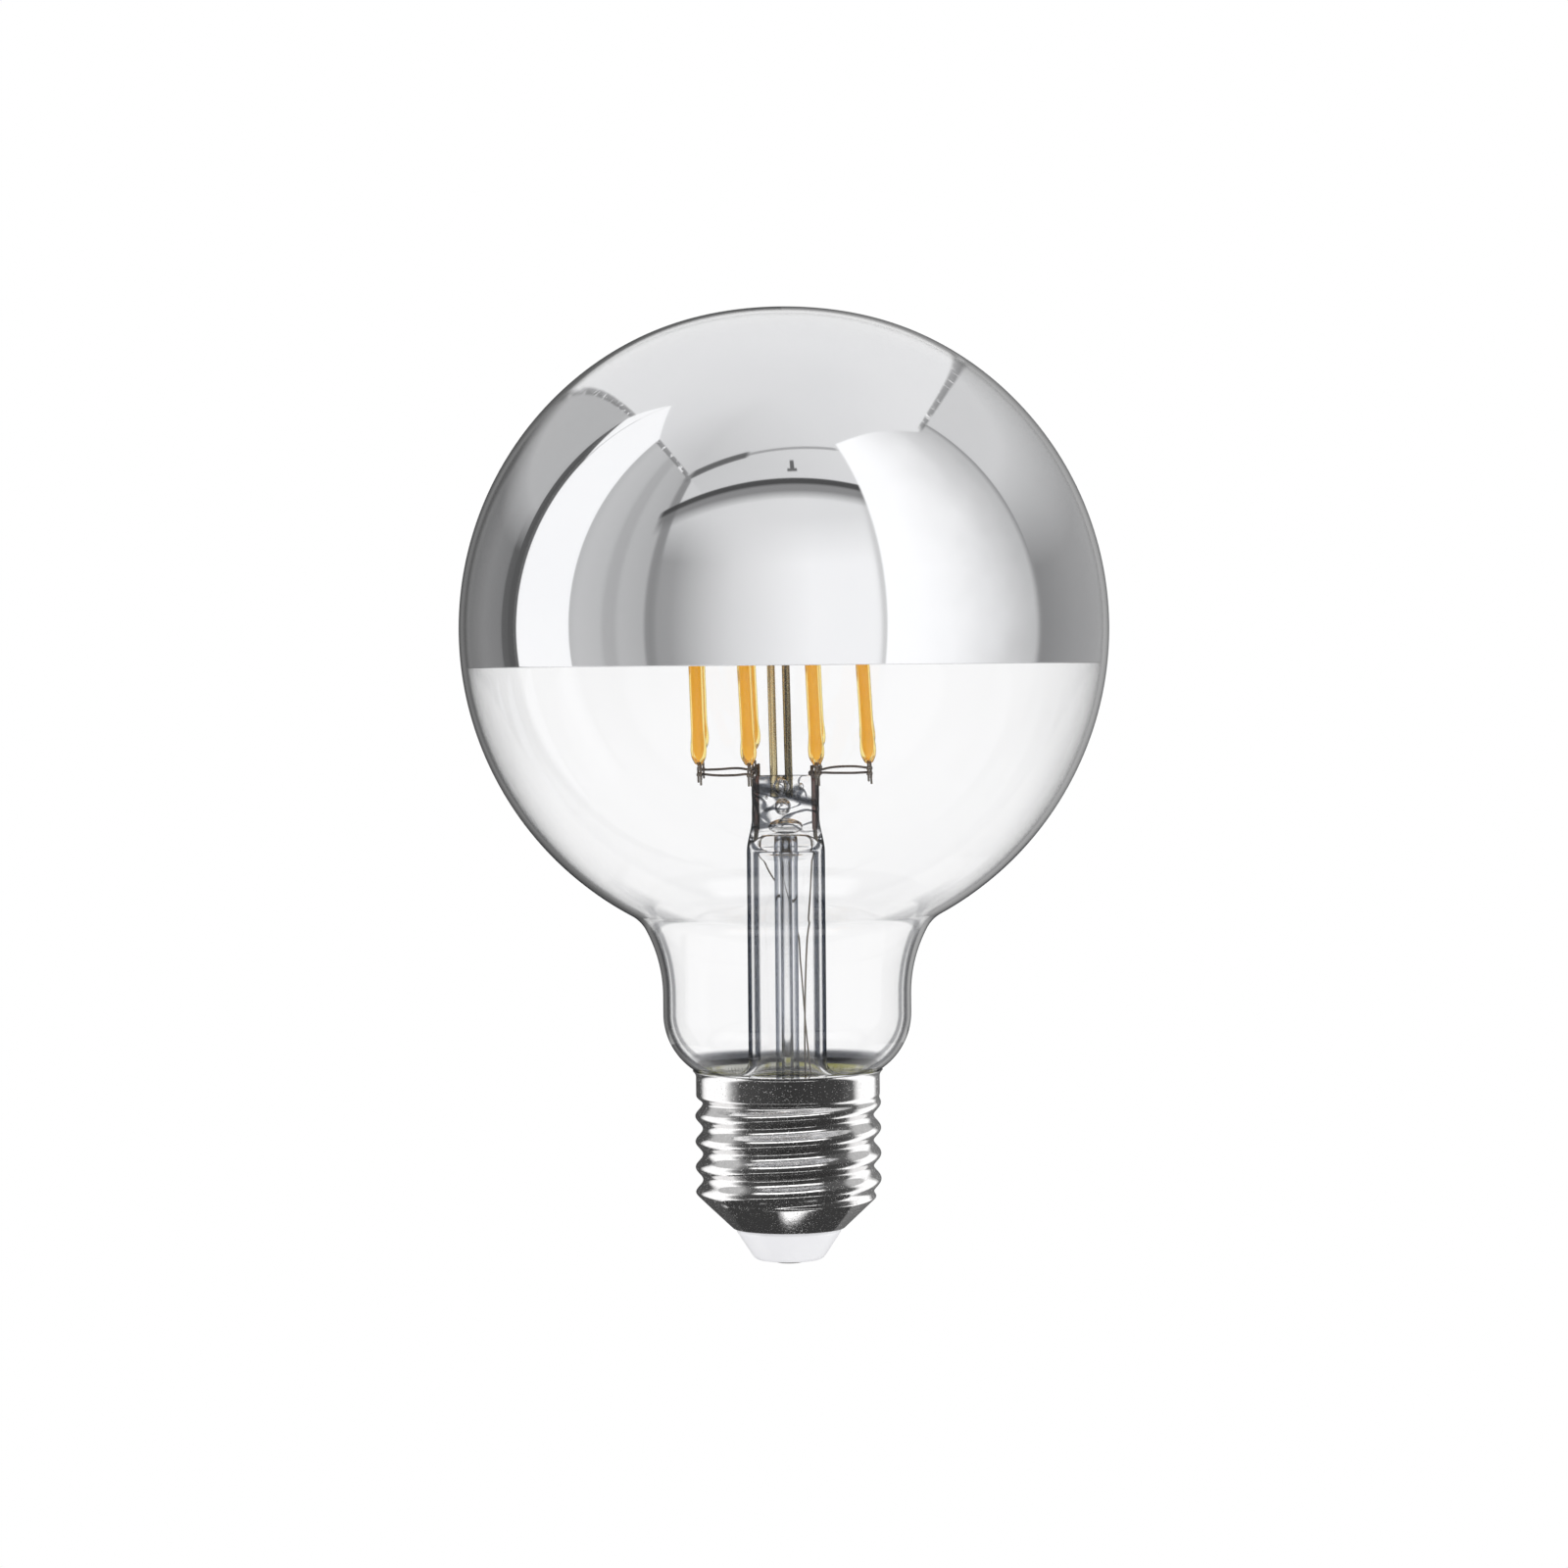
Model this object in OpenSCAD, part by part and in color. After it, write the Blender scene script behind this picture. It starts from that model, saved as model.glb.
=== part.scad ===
// Globe lamp with a mirrored crown, LED filaments and an E27 screw cap.
// Millimetres, +Z up along the lamp's axis, cap down.
// The origin is the tip of the centre contact.

/* [Globe] */
// Diameter of the globe
globe_d = 91.9; // [90:0.1:94]
// How far the blown crown is flattened at its top
crown_drop = 0.55; // [0:0.05:1.5]
// Thickness of the blown glass
glass_wall = 0.8; // [0.6:0.05:1.1]
// How far the mirror's lower edge lies below the globe's centre
mirror_drop = 5.1; // [-5:0.1:10]
// Thickness of the mirror film
mirror_film = 0.1; // [0.08:0.01:0.2]

/* [Neck] */
// Diameter of the neck
neck_d = 35.2; // [34:0.1:37]
// Radius of the tight bend where the globe turns into the neck
shoulder_bend = 5.2; // [4:0.1:7]
// Radius of the long bend above the neck
neck_bend = 20; // [17:0.5:24]
// Slope of the glass where the two bends meet, from the axis
bend_slope = 28; // [24:0.5:32]
// Length of the straight neck
neck_len = 2.6; // [0.5:0.1:6]
// Radius of the rounded foot of the neck
foot_bend = 9.5; // [8:0.1:12]
// Length of glass inside the skirt, below the foot
sleeve_len = 0.9; // [0.6:0.1:1.2]

/* [Stem] */
// Diameter of the stem tube
stem_d = 11.1; // [10.4:0.1:12]
// Wall of the stem tube and its flare
stem_wall = 1.15; // [0.9:0.05:1.3]
// Length of the stem from the seal to where the tube starts to close
stem_len = 32.5; // [28:0.1:37]
// Length over which the tube closes to the press
closing_len = 4.9; // [4.2:0.1:6]
// How much narrower the press is than the tube, on each side
press_inset = 0.75; // [0.4:0.05:1]
// Thickness of the press
press_t = 4.2; // [3.8:0.1:4.8]
// Length of the flat press
press_len = 6; // [5:0.1:8]
// Diameter of the exhaust tube
exhaust_d = 3.3; // [3:0.1:3.6]
// Bore of the exhaust tube
exhaust_bore = 1.3; // [1:0.1:1.6]
// Gap between the exhaust tube's tip and the driver board
tip_gap = 1.1; // [0.8:0.1:2]
// Diameter of the vent in the press
vent_d = 2; // [1.6:0.1:2.2]

/* [Wires] */
// Diameter of the lead wires
lead_d = 0.5; // [0.4:0.05:0.6]
// Diameter of the support rods
rod_d = 1.1; // [0.9:0.05:1.3]
// Distance between the support rods
rod_gap = 2.1; // [1.9:0.05:2.6]
// How far the pair of rods stands off the axis
rod_offset = -0.5; // [-0.8:0.05:0.3]
// Lean of the support rods
rod_lean = 1.1; // [0:0.1:1.5]
// Diameter of the carrier wires
carrier_d = 0.45; // [0.35:0.05:0.5]
// Diameter of the upper ring's wire
ring_wire_d = 0.6; // [0.55:0.05:0.8]

/* [Filaments] */
// Diameter of the circle on which the filaments stand
cage_d = 24.6; // [22:0.1:27]
// Turn of the circle of filaments
cage_turn = -1.2; // [-3:0.1:3]
// Lean of the filaments
cage_lean = 2.45; // [0:0.05:3]
// Diameter of a filament
filament_d = 2; // [1.6:0.05:2.4]
// How much a filament swells near its ends
filament_swell = 0.35; // [0.1:0.05:0.6]
// Length of a filament
filament_len = 38; // [34:0.5:39]
// Height of the front filaments' lower ends above the press
filament_rise = 1.6; // [1.4:0.1:2.4]
// How much higher the rear filaments stand
rear_lift = 1.7; // [0:0.1:2]
// Width of a filament's metal tab
tab_w = 1; // [0.8:0.05:1.2]
// Thickness of a filament's metal tab
tab_t = 0.4; // [0.3:0.05:0.5]
// Length of tab below the carrier wire
tab_tail = 1.8; // [1:0.1:2.2]

/* [Cap] */
// Largest diameter of the thread
thread_major = 26.4; // [26.05:0.05:26.45]
// Depth of the thread
thread_depth = 1.05; // [0.9:0.05:1.15]
// Pitch of the thread
thread_pitch = 3.629; // [3.6:0.001:3.66]
// Thickness of the sheet metal
sheet = 0.3; // [0.25:0.01:0.32]
// Diameter of the plain skirt above the thread
skirt_d = 26.1; // [26:0.05:26.3]
// How far the lip flares out of the skirt
lip_flare = 0.45; // [0.3:0.05:0.7]
// Height of the lip
lip_z = 27.4; // [27.3:0.05:27.6]
// Diameter of the hole at the bottom of the shell
shell_hole_d = 15.4; // [15:0.1:15.8]
// Height of the shell's bottom edge
shell_z = 5; // [4.8:0.1:5.2]
// Rise of the shell's cone for each millimetre outwards
cone_rise = 0.95; // [0.9:0.01:1]
// Depth of the ring of cement
cement_depth = 2.5; // [2:0.1:2.6]

/* [Contact] */
// Diameter of the insulator's flat end
insulator_end_d = 10.2; // [9.6:0.1:10.8]
// Wall of the insulator
insulator_wall = 1.2; // [1:0.1:1.5]
// Thickness of the insulator's floor
insulator_floor = 2.2; // [1.8:0.1:2.6]
// Height of the insulator's flange inside the shell
flange_len = 2; // [1.5:0.1:2.6]
// Diameter of the centre contact's head
contact_d = 5; // [4.4:0.1:5.4]
// How far the centre contact stands out of the insulator
contact_rise = 0.5; // [0.4:0.05:0.6]
// Diameter of the centre contact's shank
shank_d = 2; // [1.6:0.1:2.4]

/* [Driver] */
// Height of the driver board
board_h = 13.5; // [13:0.1:14]
// Thickness of the driver board
board_t = 1; // [0.8:0.1:1.2]
// Diameter of the smoothing capacitor
capacitor_d = 6.3; // [5:0.1:8]
// Length of the smoothing capacitor
capacitor_len = 9; // [7:0.1:9.8]
// Diameter of the fusible resistor
resistor_d = 2.6; // [2:0.1:3]
// Length of the fusible resistor
resistor_len = 7; // [6:0.1:8]
// Diameter of the wires inside the cap
hookup_d = 0.5; // [0.4:0.05:0.6]

/* [Hidden] */
$fn = 48;
globe_r = globe_d / 2;
neck_r = neck_d / 2;

// Levels and radii of the cap.
around = 40;
thread_crest_r = thread_major / 2;
thread_root_r = thread_crest_r - thread_depth;
thread_start_z = lip_z - 11.9;
fade_low_z = lip_z - 4.6;
fade_high_z = lip_z - 3.4;
lip_r = skirt_d / 2 + lip_flare;
lip_depth = 0.9;
lip_clearance = 0.14;
shell_edge_r = shell_hole_d / 2 + sheet;
hole_clearance = 0.25;
insulator_r = shell_hole_d / 2 - hole_clearance;
insulator_top_z = shell_z + flange_len;
flange_r = insulator_r + flange_len / cone_rise;
board_clearance = 0.75;
board_w = 2 * (flange_r - board_clearance);
board_z = insulator_top_z;
board_top_z = board_z + board_h;
facet_in = cos(180 / around);

// The foot passes through the lip and rounds in until it meets the sleeve.
sleeve_clearance = 0.55;
sleeve_step = 0.4;
sleeve_r = skirt_d / 2 - sheet - sleeve_clearance;
foot_at_lip = acos((lip_r - sheet - lip_clearance - neck_r + foot_bend) / foot_bend);
foot_z = lip_z + foot_bend * sin(foot_at_lip);
foot_end = acos((sleeve_r + sleeve_step - neck_r + foot_bend) / foot_bend);
sleeve_top_z = foot_z - foot_bend * sin(foot_end) - sleeve_step;
seal_z = sleeve_top_z - sleeve_len;
cement_r = (skirt_d / 2 - sheet) * facet_in;

// The tight bend touches the globe from outside, which sets the height of the globe.
neck_bend_z = foot_z + neck_len;
tight_x = neck_r + neck_bend - (neck_bend - shoulder_bend) * cos(bend_slope);
tight_z = neck_bend_z + (neck_bend - shoulder_bend) * sin(bend_slope);
globe_z = tight_z + sqrt(pow(globe_r + shoulder_bend, 2) - pow(tight_x, 2));
globe_end = atan2(tight_z - globe_z, tight_x);
mirror_z = globe_z - mirror_drop;

// Levels and radii inside the stem.
stem_r = stem_d / 2;
stem_bore_r = stem_r - stem_wall;
flare_bend = 0.75 * (sleeve_r - stem_r);
tube_top_z = seal_z + stem_len;
press_z = tube_top_z + closing_len;
press_top_z = press_z + press_len;
press_r = stem_r - press_inset;
roof_z = press_z - 0.55 * closing_len;
vent_z = press_z + 0.27 * press_len;
bore_top_z = vent_z + vent_d / 4;
rod_foot_z = press_z + press_len / 2;
exhaust_tip_z = board_top_z + tip_gap;
lead_x = stem_bore_r - 0.6;

// Carrier wires pass the lead at two heights, front below rear.
front_wire_z = press_top_z + carrier_d / 2 + 0.15;
rear_wire_z = front_wire_z + carrier_d + 0.05;
lead_top_z = rear_wire_z + carrier_d / 2 + 0.3;
cage_r = cage_d / 2;
cage_step = 45;
chord_half = cage_r * sin(cage_step / 2);
chord_off = cage_r * cos(cage_step / 2) - tab_t / 2 - carrier_d / 2;
filament_z = press_top_z + filament_rise;
upper_ring_z = filament_z + rear_lift + filament_len + 1.4;

// Points along an arc, from angle a to angle b.
function arc(x, z, r, a, b, steps) =
    [for (i = [0:steps]) let (t = a + (b - a) * i / steps) [x + r * cos(t), z + r * sin(t)]];

// Outline of the blown glass from the pole to the seal, set in by a wall thickness.
function globe_arc(inset) =
    [for (p = arc(0, 0, 1, 90, globe_end, 44))
        [max(0, (globe_r - inset) * p[0]),
         globe_z + (globe_r - inset) * p[1] - crown_drop * pow(max(0, p[1]), 16)]];
function glass_outline(inset) = concat(
    globe_arc(inset),
    arc(tight_x, tight_z, shoulder_bend + inset, 180 + globe_end, 180 - bend_slope, 8),
    arc(neck_r + neck_bend, neck_bend_z, neck_bend + inset, 180 - bend_slope, 180, 8),
    arc(neck_r - foot_bend, foot_z, foot_bend - inset, 0, -foot_end, 10),
    [[sleeve_r - inset, sleeve_top_z - inset / 2], [sleeve_r - inset, seal_z]]);
function reversed(list) = [for (i = [len(list) - 1:-1:0]) list[i]];

// Sweeps a round wire along a path; up is any direction that the path never takes.
function unit(v) = v / norm(v);
function heading(path, i) = unit(path[min(i + 1, len(path) - 1)] - path[max(i - 1, 0)]);
function ring_points(path, i, d, up, sides) =
    let (t = heading(path, i), u = unit(cross(up, t)), v = cross(t, u))
    [for (k = [0:sides - 1]) path[i] + d / 2 * (cos(360 * k / sides) * u + sin(360 * k / sides) * v)];
module wire(path, d, up, sides = 8) {
    last = len(path) - 1;
    points = [for (i = [0:last]) each ring_points(path, i, d, up, sides)];
    walls = [for (i = [0:last - 1], k = [0:sides - 1])
        let (a = i * sides + k, b = i * sides + (k + 1) % sides)
        each [[a, a + sides, b + sides], [a, b + sides, b]]];
    foot = [[for (k = [0:sides - 1]) k]];
    head = [[for (k = [sides - 1:-1:0]) last * sides + k]];
    polyhedron(points = points, faces = concat(walls, foot, head), convexity = 6);
}

// A smooth curve through a few points.
function between(a, b, c, d, t) = 0.5 * ((2 * b) + (c - a) * t
    + (2 * a - 5 * b + 4 * c - d) * t * t + (3 * b - a - 3 * c + d) * t * t * t);
function curve(p, steps) = let (last = len(p) - 1) concat(
    [for (i = [0:last - 1], s = [0:steps - 1])
        between(p[max(i - 1, 0)], p[i], p[i + 1], p[min(i + 2, last)], s / steps)],
    [p[last]]);

module envelope() {
    color([0.86, 0.88, 0.9, 0.3])
        rotate_extrude($fn = 96)
            polygon(concat(glass_outline(0), reversed(glass_outline(glass_wall))));
}

module crown_mirror() {
    color("silver")
        rotate_extrude($fn = 96)
            intersection() {
                polygon(concat(glass_outline(glass_wall),
                    reversed(glass_outline(glass_wall + mirror_film))));
                translate([0, mirror_z])
                    square([globe_d, globe_d]);
            }
}

// Half outline of the stem: bell, tube, shoulder and press.
module stem_body() {
    bell_x = stem_r + flare_bend;
    rotate_extrude()
        polygon(concat(
            [[0, press_top_z], [press_r - 0.6, press_top_z], [press_r, press_top_z - 0.6],
             [press_r, press_z], [press_r + press_inset / 3, press_z - 0.3 * closing_len],
             [stem_r, tube_top_z]],
            arc(bell_x, seal_z + flare_bend, flare_bend, 180, 270, 8),
            [[sleeve_r, seal_z], [sleeve_r, seal_z - stem_wall]],
            [[0, seal_z - stem_wall]]));
}

// What the pinching jaws took away, in front and behind.
module jaw_cut() {
    jaw_r = 5;
    reach = 2 * stem_r;
    rotate([90, 0, 90])
        linear_extrude(height = 2 * reach, center = true)
            for (side = [0, 1])
                mirror([side, 0])
                    union() {
                        translate([press_t / 2 + jaw_r, press_z])
                            circle(r = jaw_r, $fn = 64);
                        translate([press_t / 2, press_z])
                            square([2 * jaw_r, 2 * jaw_r]);
                    }
}

// The hollow inside bell and tube, which narrows to a flat roof under the press.
module stem_hollow() {
    bell_x = stem_r + flare_bend;
    slope_z = roof_z - 6;
    intersection() {
        rotate_extrude()
            polygon(concat(
                [[0, roof_z], [stem_bore_r - 0.5, roof_z], [stem_bore_r, roof_z - 2.5]],
                arc(bell_x, seal_z + flare_bend, flare_bend + stem_wall, 180, 270, 8),
                [[bell_x, seal_z - 2 * stem_wall], [0, seal_z - 2 * stem_wall]]));
        rotate([90, 0, 90])
            linear_extrude(height = 4 * stem_d, center = true)
                polygon([[-exhaust_d / 2, roof_z], [exhaust_d / 2, roof_z],
                    [stem_bore_r, slope_z], [2 * stem_d, slope_z], [2 * stem_d, 0],
                    [-2 * stem_d, 0], [-2 * stem_d, slope_z], [-stem_bore_r, slope_z]]);
    }
}

module stem_flare() {
    color([0.8, 0.84, 0.86, 0.4])
        difference() {
            stem_body();
            jaw_cut();
            stem_hollow();
            translate([0, 0, roof_z - 1])
                cylinder(d = exhaust_bore, h = bore_top_z - roof_z + 1);
            translate([0, 0, vent_z])
                rotate([90, 0, 0])
                    cylinder(d = vent_d, h = press_t);
            for (side = [-1, 1])
                translate([side * lead_x, 0, roof_z - 1])
                    cylinder(d = lead_d, h = press_top_z - roof_z + 2, $fn = 24);
            for (side = [-1, 1])
                support_rod(side);
        }
}

module exhaust_tube() {
    color([0.84, 0.88, 0.9, 0.4])
        difference() {
            union() {
                translate([0, 0, exhaust_tip_z + exhaust_d / 2])
                    cylinder(d = exhaust_d, h = roof_z - exhaust_tip_z - exhaust_d / 2);
                translate([0, 0, exhaust_tip_z])
                    cylinder(d1 = exhaust_d / 3, d2 = exhaust_d, h = exhaust_d / 2);
            }
            translate([0, 0, exhaust_tip_z + exhaust_d / 2])
                cylinder(d = exhaust_bore, h = roof_z);
        }
}

// Each lead runs from the board's top edge up past the exhaust tube and through the press.
module lead_wire(path) {
    color("peru")
        wire(path, lead_d, [0, 1, 0]);
}
function lead_point(x, y, rise) =
    [x * lead_x, y * lead_x, board_top_z + rise * (lead_entry_z - board_top_z)];
lead_entry_z = roof_z - 1.5;
module lead_wire_right() {
    foot = lead_point(0.68, 0, 0);
    lead_wire(concat([foot],
        curve([foot + [0, 0, 0.6], lead_point(0.66, -0.16, 0.14), lead_point(0.63, -0.34, 0.33),
            lead_point(0.71, -0.32, 0.61), lead_point(0.9, -0.13, 0.85), lead_point(1, 0, 1)], 4),
        [[lead_x, 0, lead_top_z]]));
}
module lead_wire_left() {
    foot = lead_point(1.05, 0, 0);
    lead_wire(concat([foot],
        curve([foot + [0, 0, 0.6], lead_point(0.9, 0.21, 0.14), lead_point(0.71, 0.5, 0.35),
            lead_point(0.26, 0.76, 0.56), lead_point(-0.5, 0.68, 0.74), lead_point(-0.92, 0.21, 0.9),
            lead_point(-1, 0, 1)], 4),
        [[-lead_x, 0, lead_top_z]]));
}

// The rods lean together from the foot of the press up into the crown.
module support_rod(side) {
    color("gainsboro")
        translate([rod_offset + side * rod_gap / 2, 0, rod_foot_z])
            rotate([0, -rod_lean, 0])
                cylinder(d = rod_d, h = upper_ring_z - rod_foot_z + 1, $fn = 32);
}

// Place of a filament, measured where its lower tab meets the carrier wire.
function is_rear(i) = i <= 4;
function azimuth(i) = cage_turn - cage_step / 2 + cage_step * i;
function wire_level(i) = is_rear(i) ? rear_wire_z : front_wire_z;
function foot_level(i) = filament_z + (is_rear(i) ? rear_lift : 0);
module on_cage(i) {
    translate([cage_r * cos(azimuth(i)), cage_r * sin(azimuth(i)), wire_level(i)])
        rotate([0, -cage_lean, 0])
            children();
}

// A filament swells a little near each end and narrows to its tab.
module filament(i) {
    r = filament_d / 2;
    swell = r + filament_swell / 2;
    color("goldenrod")
        on_cage(i)
            translate([0, 0, (foot_level(i) - wire_level(i)) / cos(cage_lean)])
                rotate_extrude($fn = 32)
                    polygon([[0, 0], [0.5 * r, 0], [0.85 * r, 0.35], [swell, 1.3], [swell, 2.4],
                        [r, 4.2], [r, filament_len - 4.2], [swell, filament_len - 2.4],
                        [swell, filament_len - 1.3], [0.85 * r, filament_len - 0.35],
                        [0.5 * r, filament_len], [0, filament_len]]);
}

// The lower tab lies flat on the carrier wire, the upper one flat on the upper ring.
module filament_tabs(i) {
    foot = (foot_level(i) - wire_level(i)) / cos(cage_lean);
    head = foot + filament_len;
    ring = (upper_ring_z - wire_level(i)) / cos(cage_lean);
    pair_normal = cage_turn + 45 + 90 * floor((i - 1) / 2);
    color("lightgray")
        on_cage(i) {
            rotate([0, 0, pair_normal])
                translate([-tab_t / 2, -tab_w / 2, -tab_tail])
                    cube([tab_t, tab_w, foot + tab_tail]);
            rotate([0, 0, azimuth(i)])
                translate([-tab_t / 2, -tab_w / 2, head])
                    cube([tab_t, tab_w, ring - head + ring_wire_d / 2 + 0.3]);
        }
}

// A carrier lies on the inner faces of two tabs, bends and runs on to the lead.
module lower_carrier(side, depth, level) {
    turn = [[cos(cage_turn), sin(cage_turn)], [-sin(cage_turn), cos(cage_turn)]];
    normal = side * sqrt(0.5) * turn[0] + depth * sqrt(0.5) * turn[1];
    along = side * sqrt(0.5) * turn[0] - depth * sqrt(0.5) * turn[1];
    outer = chord_off * normal + (chord_half + 0.9) * along;
    inner = chord_off * normal - (chord_half - 0.2) * along;
    corner = chord_off * normal - (chord_half + 0.7) * along;
    lead = [side * (lead_x + (lead_d + carrier_d) / 2), depth * -0.6];
    exit = corner + 0.12 * (lead - corner);
    function high(p) = [p[0], p[1], level];
    color("silver")
        wire(concat([high(outer)],
                [for (t = [0:0.2:1]) high(pow(1 - t, 2) * inner + 2 * t * (1 - t) * corner + t * t * exit)],
                [high([lead[0], depth * 2]), high(lead)]),
            carrier_d, [0, 0, 1]);
}

// The ring and its bar hold the upper tabs and lean on both rods.
module upper_ring() {
    ring_r = cage_r - tab_t / 2 - ring_wire_d / 2;
    bar_d = ring_wire_d - 0.1;
    shift = tan(cage_lean) * (upper_ring_z - (rear_wire_z + front_wire_z) / 2);
    color("silver")
        translate([-shift, 0, upper_ring_z]) {
            rotate_extrude($fn = 72)
                translate([ring_r, 0])
                    circle(d = ring_wire_d, $fn = 24);
            translate([-ring_r, -(rod_d + bar_d) / 2, 0])
                rotate([0, 90, 0])
                    cylinder(d = bar_d, h = 2 * ring_r, $fn = 24);
        }
}

// Radius of the shell's outer face: thread, faded into the skirt and cut by the cone.
function ramp(x) = let (t = min(1, max(0, x))) t * t * (3 - 2 * t);
function thread_r(z, angle) = thread_root_r + thread_depth
    * (0.5 + 0.5 * cos(360 * (z - thread_start_z) / thread_pitch - angle));
function flare(z) = lip_flare * pow(max(0, (z - lip_z + lip_depth) / lip_depth), 2);
function cone_r(z) = shell_edge_r + (z - shell_z) / cone_rise;
function shell_r(z, angle) =
    let (w = ramp((z - fade_low_z) / (fade_high_z - fade_low_z)),
        body = (1 - w) * thread_r(z, angle) + w * skirt_d / 2 + flare(z))
    min(body, cone_r(z));

// The rolled shell: one sheet, threaded, with a flared lip and a cone below.
module screw_shell() {
    thread_low_z = shell_z + 3.4;
    step = thread_pitch / 8;
    levels = concat(
        [shell_z, shell_z + 1.6, shell_z + 2.8],
        [for (z = [thread_low_z:step:fade_high_z - step / 3]) z],
        [fade_high_z, lip_z - lip_depth, lip_z - lip_depth / 2, lip_z]);
    count = len(levels);
    function grid(inset) = [for (z = levels, k = [0:around - 1])
        let (a = 360 * k / around, r = shell_r(z, a) - inset) [r * cos(a), r * sin(a), z]];
    function index(face, i, k) = face * count * around + i * around + k % around;
    outside = [for (i = [0:count - 2], k = [0:around - 1]) each
        [[index(0, i, k), index(0, i + 1, k), index(0, i + 1, k + 1)],
         [index(0, i, k), index(0, i + 1, k + 1), index(0, i, k + 1)]]];
    inside = [for (i = [0:count - 2], k = [0:around - 1]) each
        [[index(1, i, k), index(1, i + 1, k + 1), index(1, i + 1, k)],
         [index(1, i, k), index(1, i, k + 1), index(1, i + 1, k + 1)]]];
    edge = [for (k = [0:around - 1]) each
        [[index(0, 0, k), index(0, 0, k + 1), index(1, 0, k + 1)],
         [index(0, 0, k), index(1, 0, k + 1), index(1, 0, k)]]];
    lip = [for (k = [0:around - 1]) let (t = count - 1) each
        [[index(0, t, k), index(1, t, k + 1), index(0, t, k + 1)],
         [index(0, t, k), index(1, t, k), index(1, t, k + 1)]]];
    color("lightslategray")
        polyhedron(points = concat(grid(0), grid(sheet)),
            faces = concat(outside, inside, edge, lip), convexity = 10);
}

// The insulator closes the shell's hole, with a flange that follows the cone inside.
module cap_insulator() {
    end_r = insulator_end_d / 2;
    r = insulator_r;
    collar_z = shell_z - 0.5;
    floor_z = contact_rise + insulator_floor;
    color("white")
        difference() {
            rotate_extrude()
                polygon([[0, contact_rise], [end_r - 0.5, contact_rise], [end_r, contact_rise + 0.4],
                    [r, collar_z], [r, shell_z], [flange_r, insulator_top_z],
                    [flange_r - insulator_wall, insulator_top_z], [r - insulator_wall, shell_z],
                    [end_r - 0.6, floor_z], [0, floor_z]]);
            translate([0, 0, contact_rise - 1])
                cylinder(d = shank_d, h = insulator_floor + 2);
        }
}

// A rivet: domed head with a flat, shank through the floor, and a clenched end.
module centre_contact() {
    clench_z = contact_rise + insulator_floor;
    color("darkgoldenrod")
        rotate_extrude()
            polygon([[0, 0], [0.3 * contact_d, 0], [0.42 * contact_d, 0.35 * contact_rise],
                [contact_d / 2, contact_rise], [shank_d / 2, contact_rise], [shank_d / 2, clench_z],
                [shank_d / 2 + 0.7, clench_z], [shank_d / 2 + 0.5, clench_z + 0.5],
                [0, clench_z + 0.5]]);
}

module basing_cement() {
    color("khaki")
        translate([0, 0, fade_high_z])
            difference() {
                cylinder(r = cement_r, h = cement_depth, $fn = 96);
                translate([0, 0, -1])
                    cylinder(r = sleeve_r, h = cement_depth + 2, $fn = 96);
            }
}

module driver_board() {
    color("seagreen")
        translate([-board_w / 2, -board_t / 2, board_z])
            cube([board_w, board_t, board_h]);
}

// The can lies on the board's front face; its two legs bend into the board.
module smoothing_capacitor() {
    r = capacitor_d / 2;
    can_x = -0.17 * board_w;
    can_z = board_z + 2.6;
    y = -board_t / 2 - r;
    color("midnightblue")
        translate([can_x, y, can_z])
            rotate_extrude()
                polygon([[0, 0], [r - 0.3, 0], [r, 0.3], [r, 1.1], [r - 0.35, 1.5], [r, 1.9],
                    [r, capacitor_len - 0.4], [r - 0.4, capacitor_len], [0, capacitor_len]]);
    color("lightgray")
        for (side = [-1, 1])
            translate([can_x + 0.4 * side * r, 0, can_z])
                wire([[0, y, 0], [0, y, -0.5], [0, y + 0.5, -1], [0, -board_t / 2, -1]],
                    hookup_d, [1, 0, 0]);
}

// A moulded chip with a row of legs on two sides, standing on the board's rear face.
module chip(w, h, t, legs) {
    foot = 0.2;
    translate([-w / 2, foot, -h / 2])
        cube([w, t, h]);
    for (side = [-1, 1], k = [0:legs - 1])
        translate([side * (w / 2 + 0.3) - 0.5, 0, -h / 2 + h * (k + 0.5) / legs - 0.2])
            cube([1, foot + t / 2, 0.4]);
}
chip_z = board_z + 0.31 * board_h;
module bridge_rectifier() {
    color("dimgray")
        translate([-board_w / 4, board_t / 2, chip_z])
            chip(4.6, 3.8, 1.5, 2);
}
module driver_chip() {
    color("darkslategray")
        translate([board_w / 4, board_t / 2, chip_z])
            chip(3.9, 4.9, 1.4, 4);
}

// An axial resistor across the board's rear face, near its top.
module fusible_resistor() {
    r = resistor_d / 2;
    y = board_t / 2 + r;
    z = board_top_z - 3;
    reach = resistor_len / 2;
    color("lightgreen")
        translate([-reach, y, z])
            rotate([0, 90, 0])
                rotate_extrude($fn = 32)
                    polygon([[0, 0], [r - 0.4, 0], [r, 0.4], [r, 1.5], [r - 0.25, 1.9],
                        [r - 0.25, resistor_len - 1.9], [r, resistor_len - 1.5],
                        [r, resistor_len - 0.4], [r - 0.4, resistor_len], [0, resistor_len]]);
    color("lightgray")
        for (side = [-1, 1])
            wire([[side * reach, y, z], [side * (reach + 0.6), y, z],
                    [side * (reach + 1.1), y - 0.5, z], [side * (reach + 1.1), board_t / 2, z]],
                hookup_d, [0, 0, 1]);
}

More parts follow.
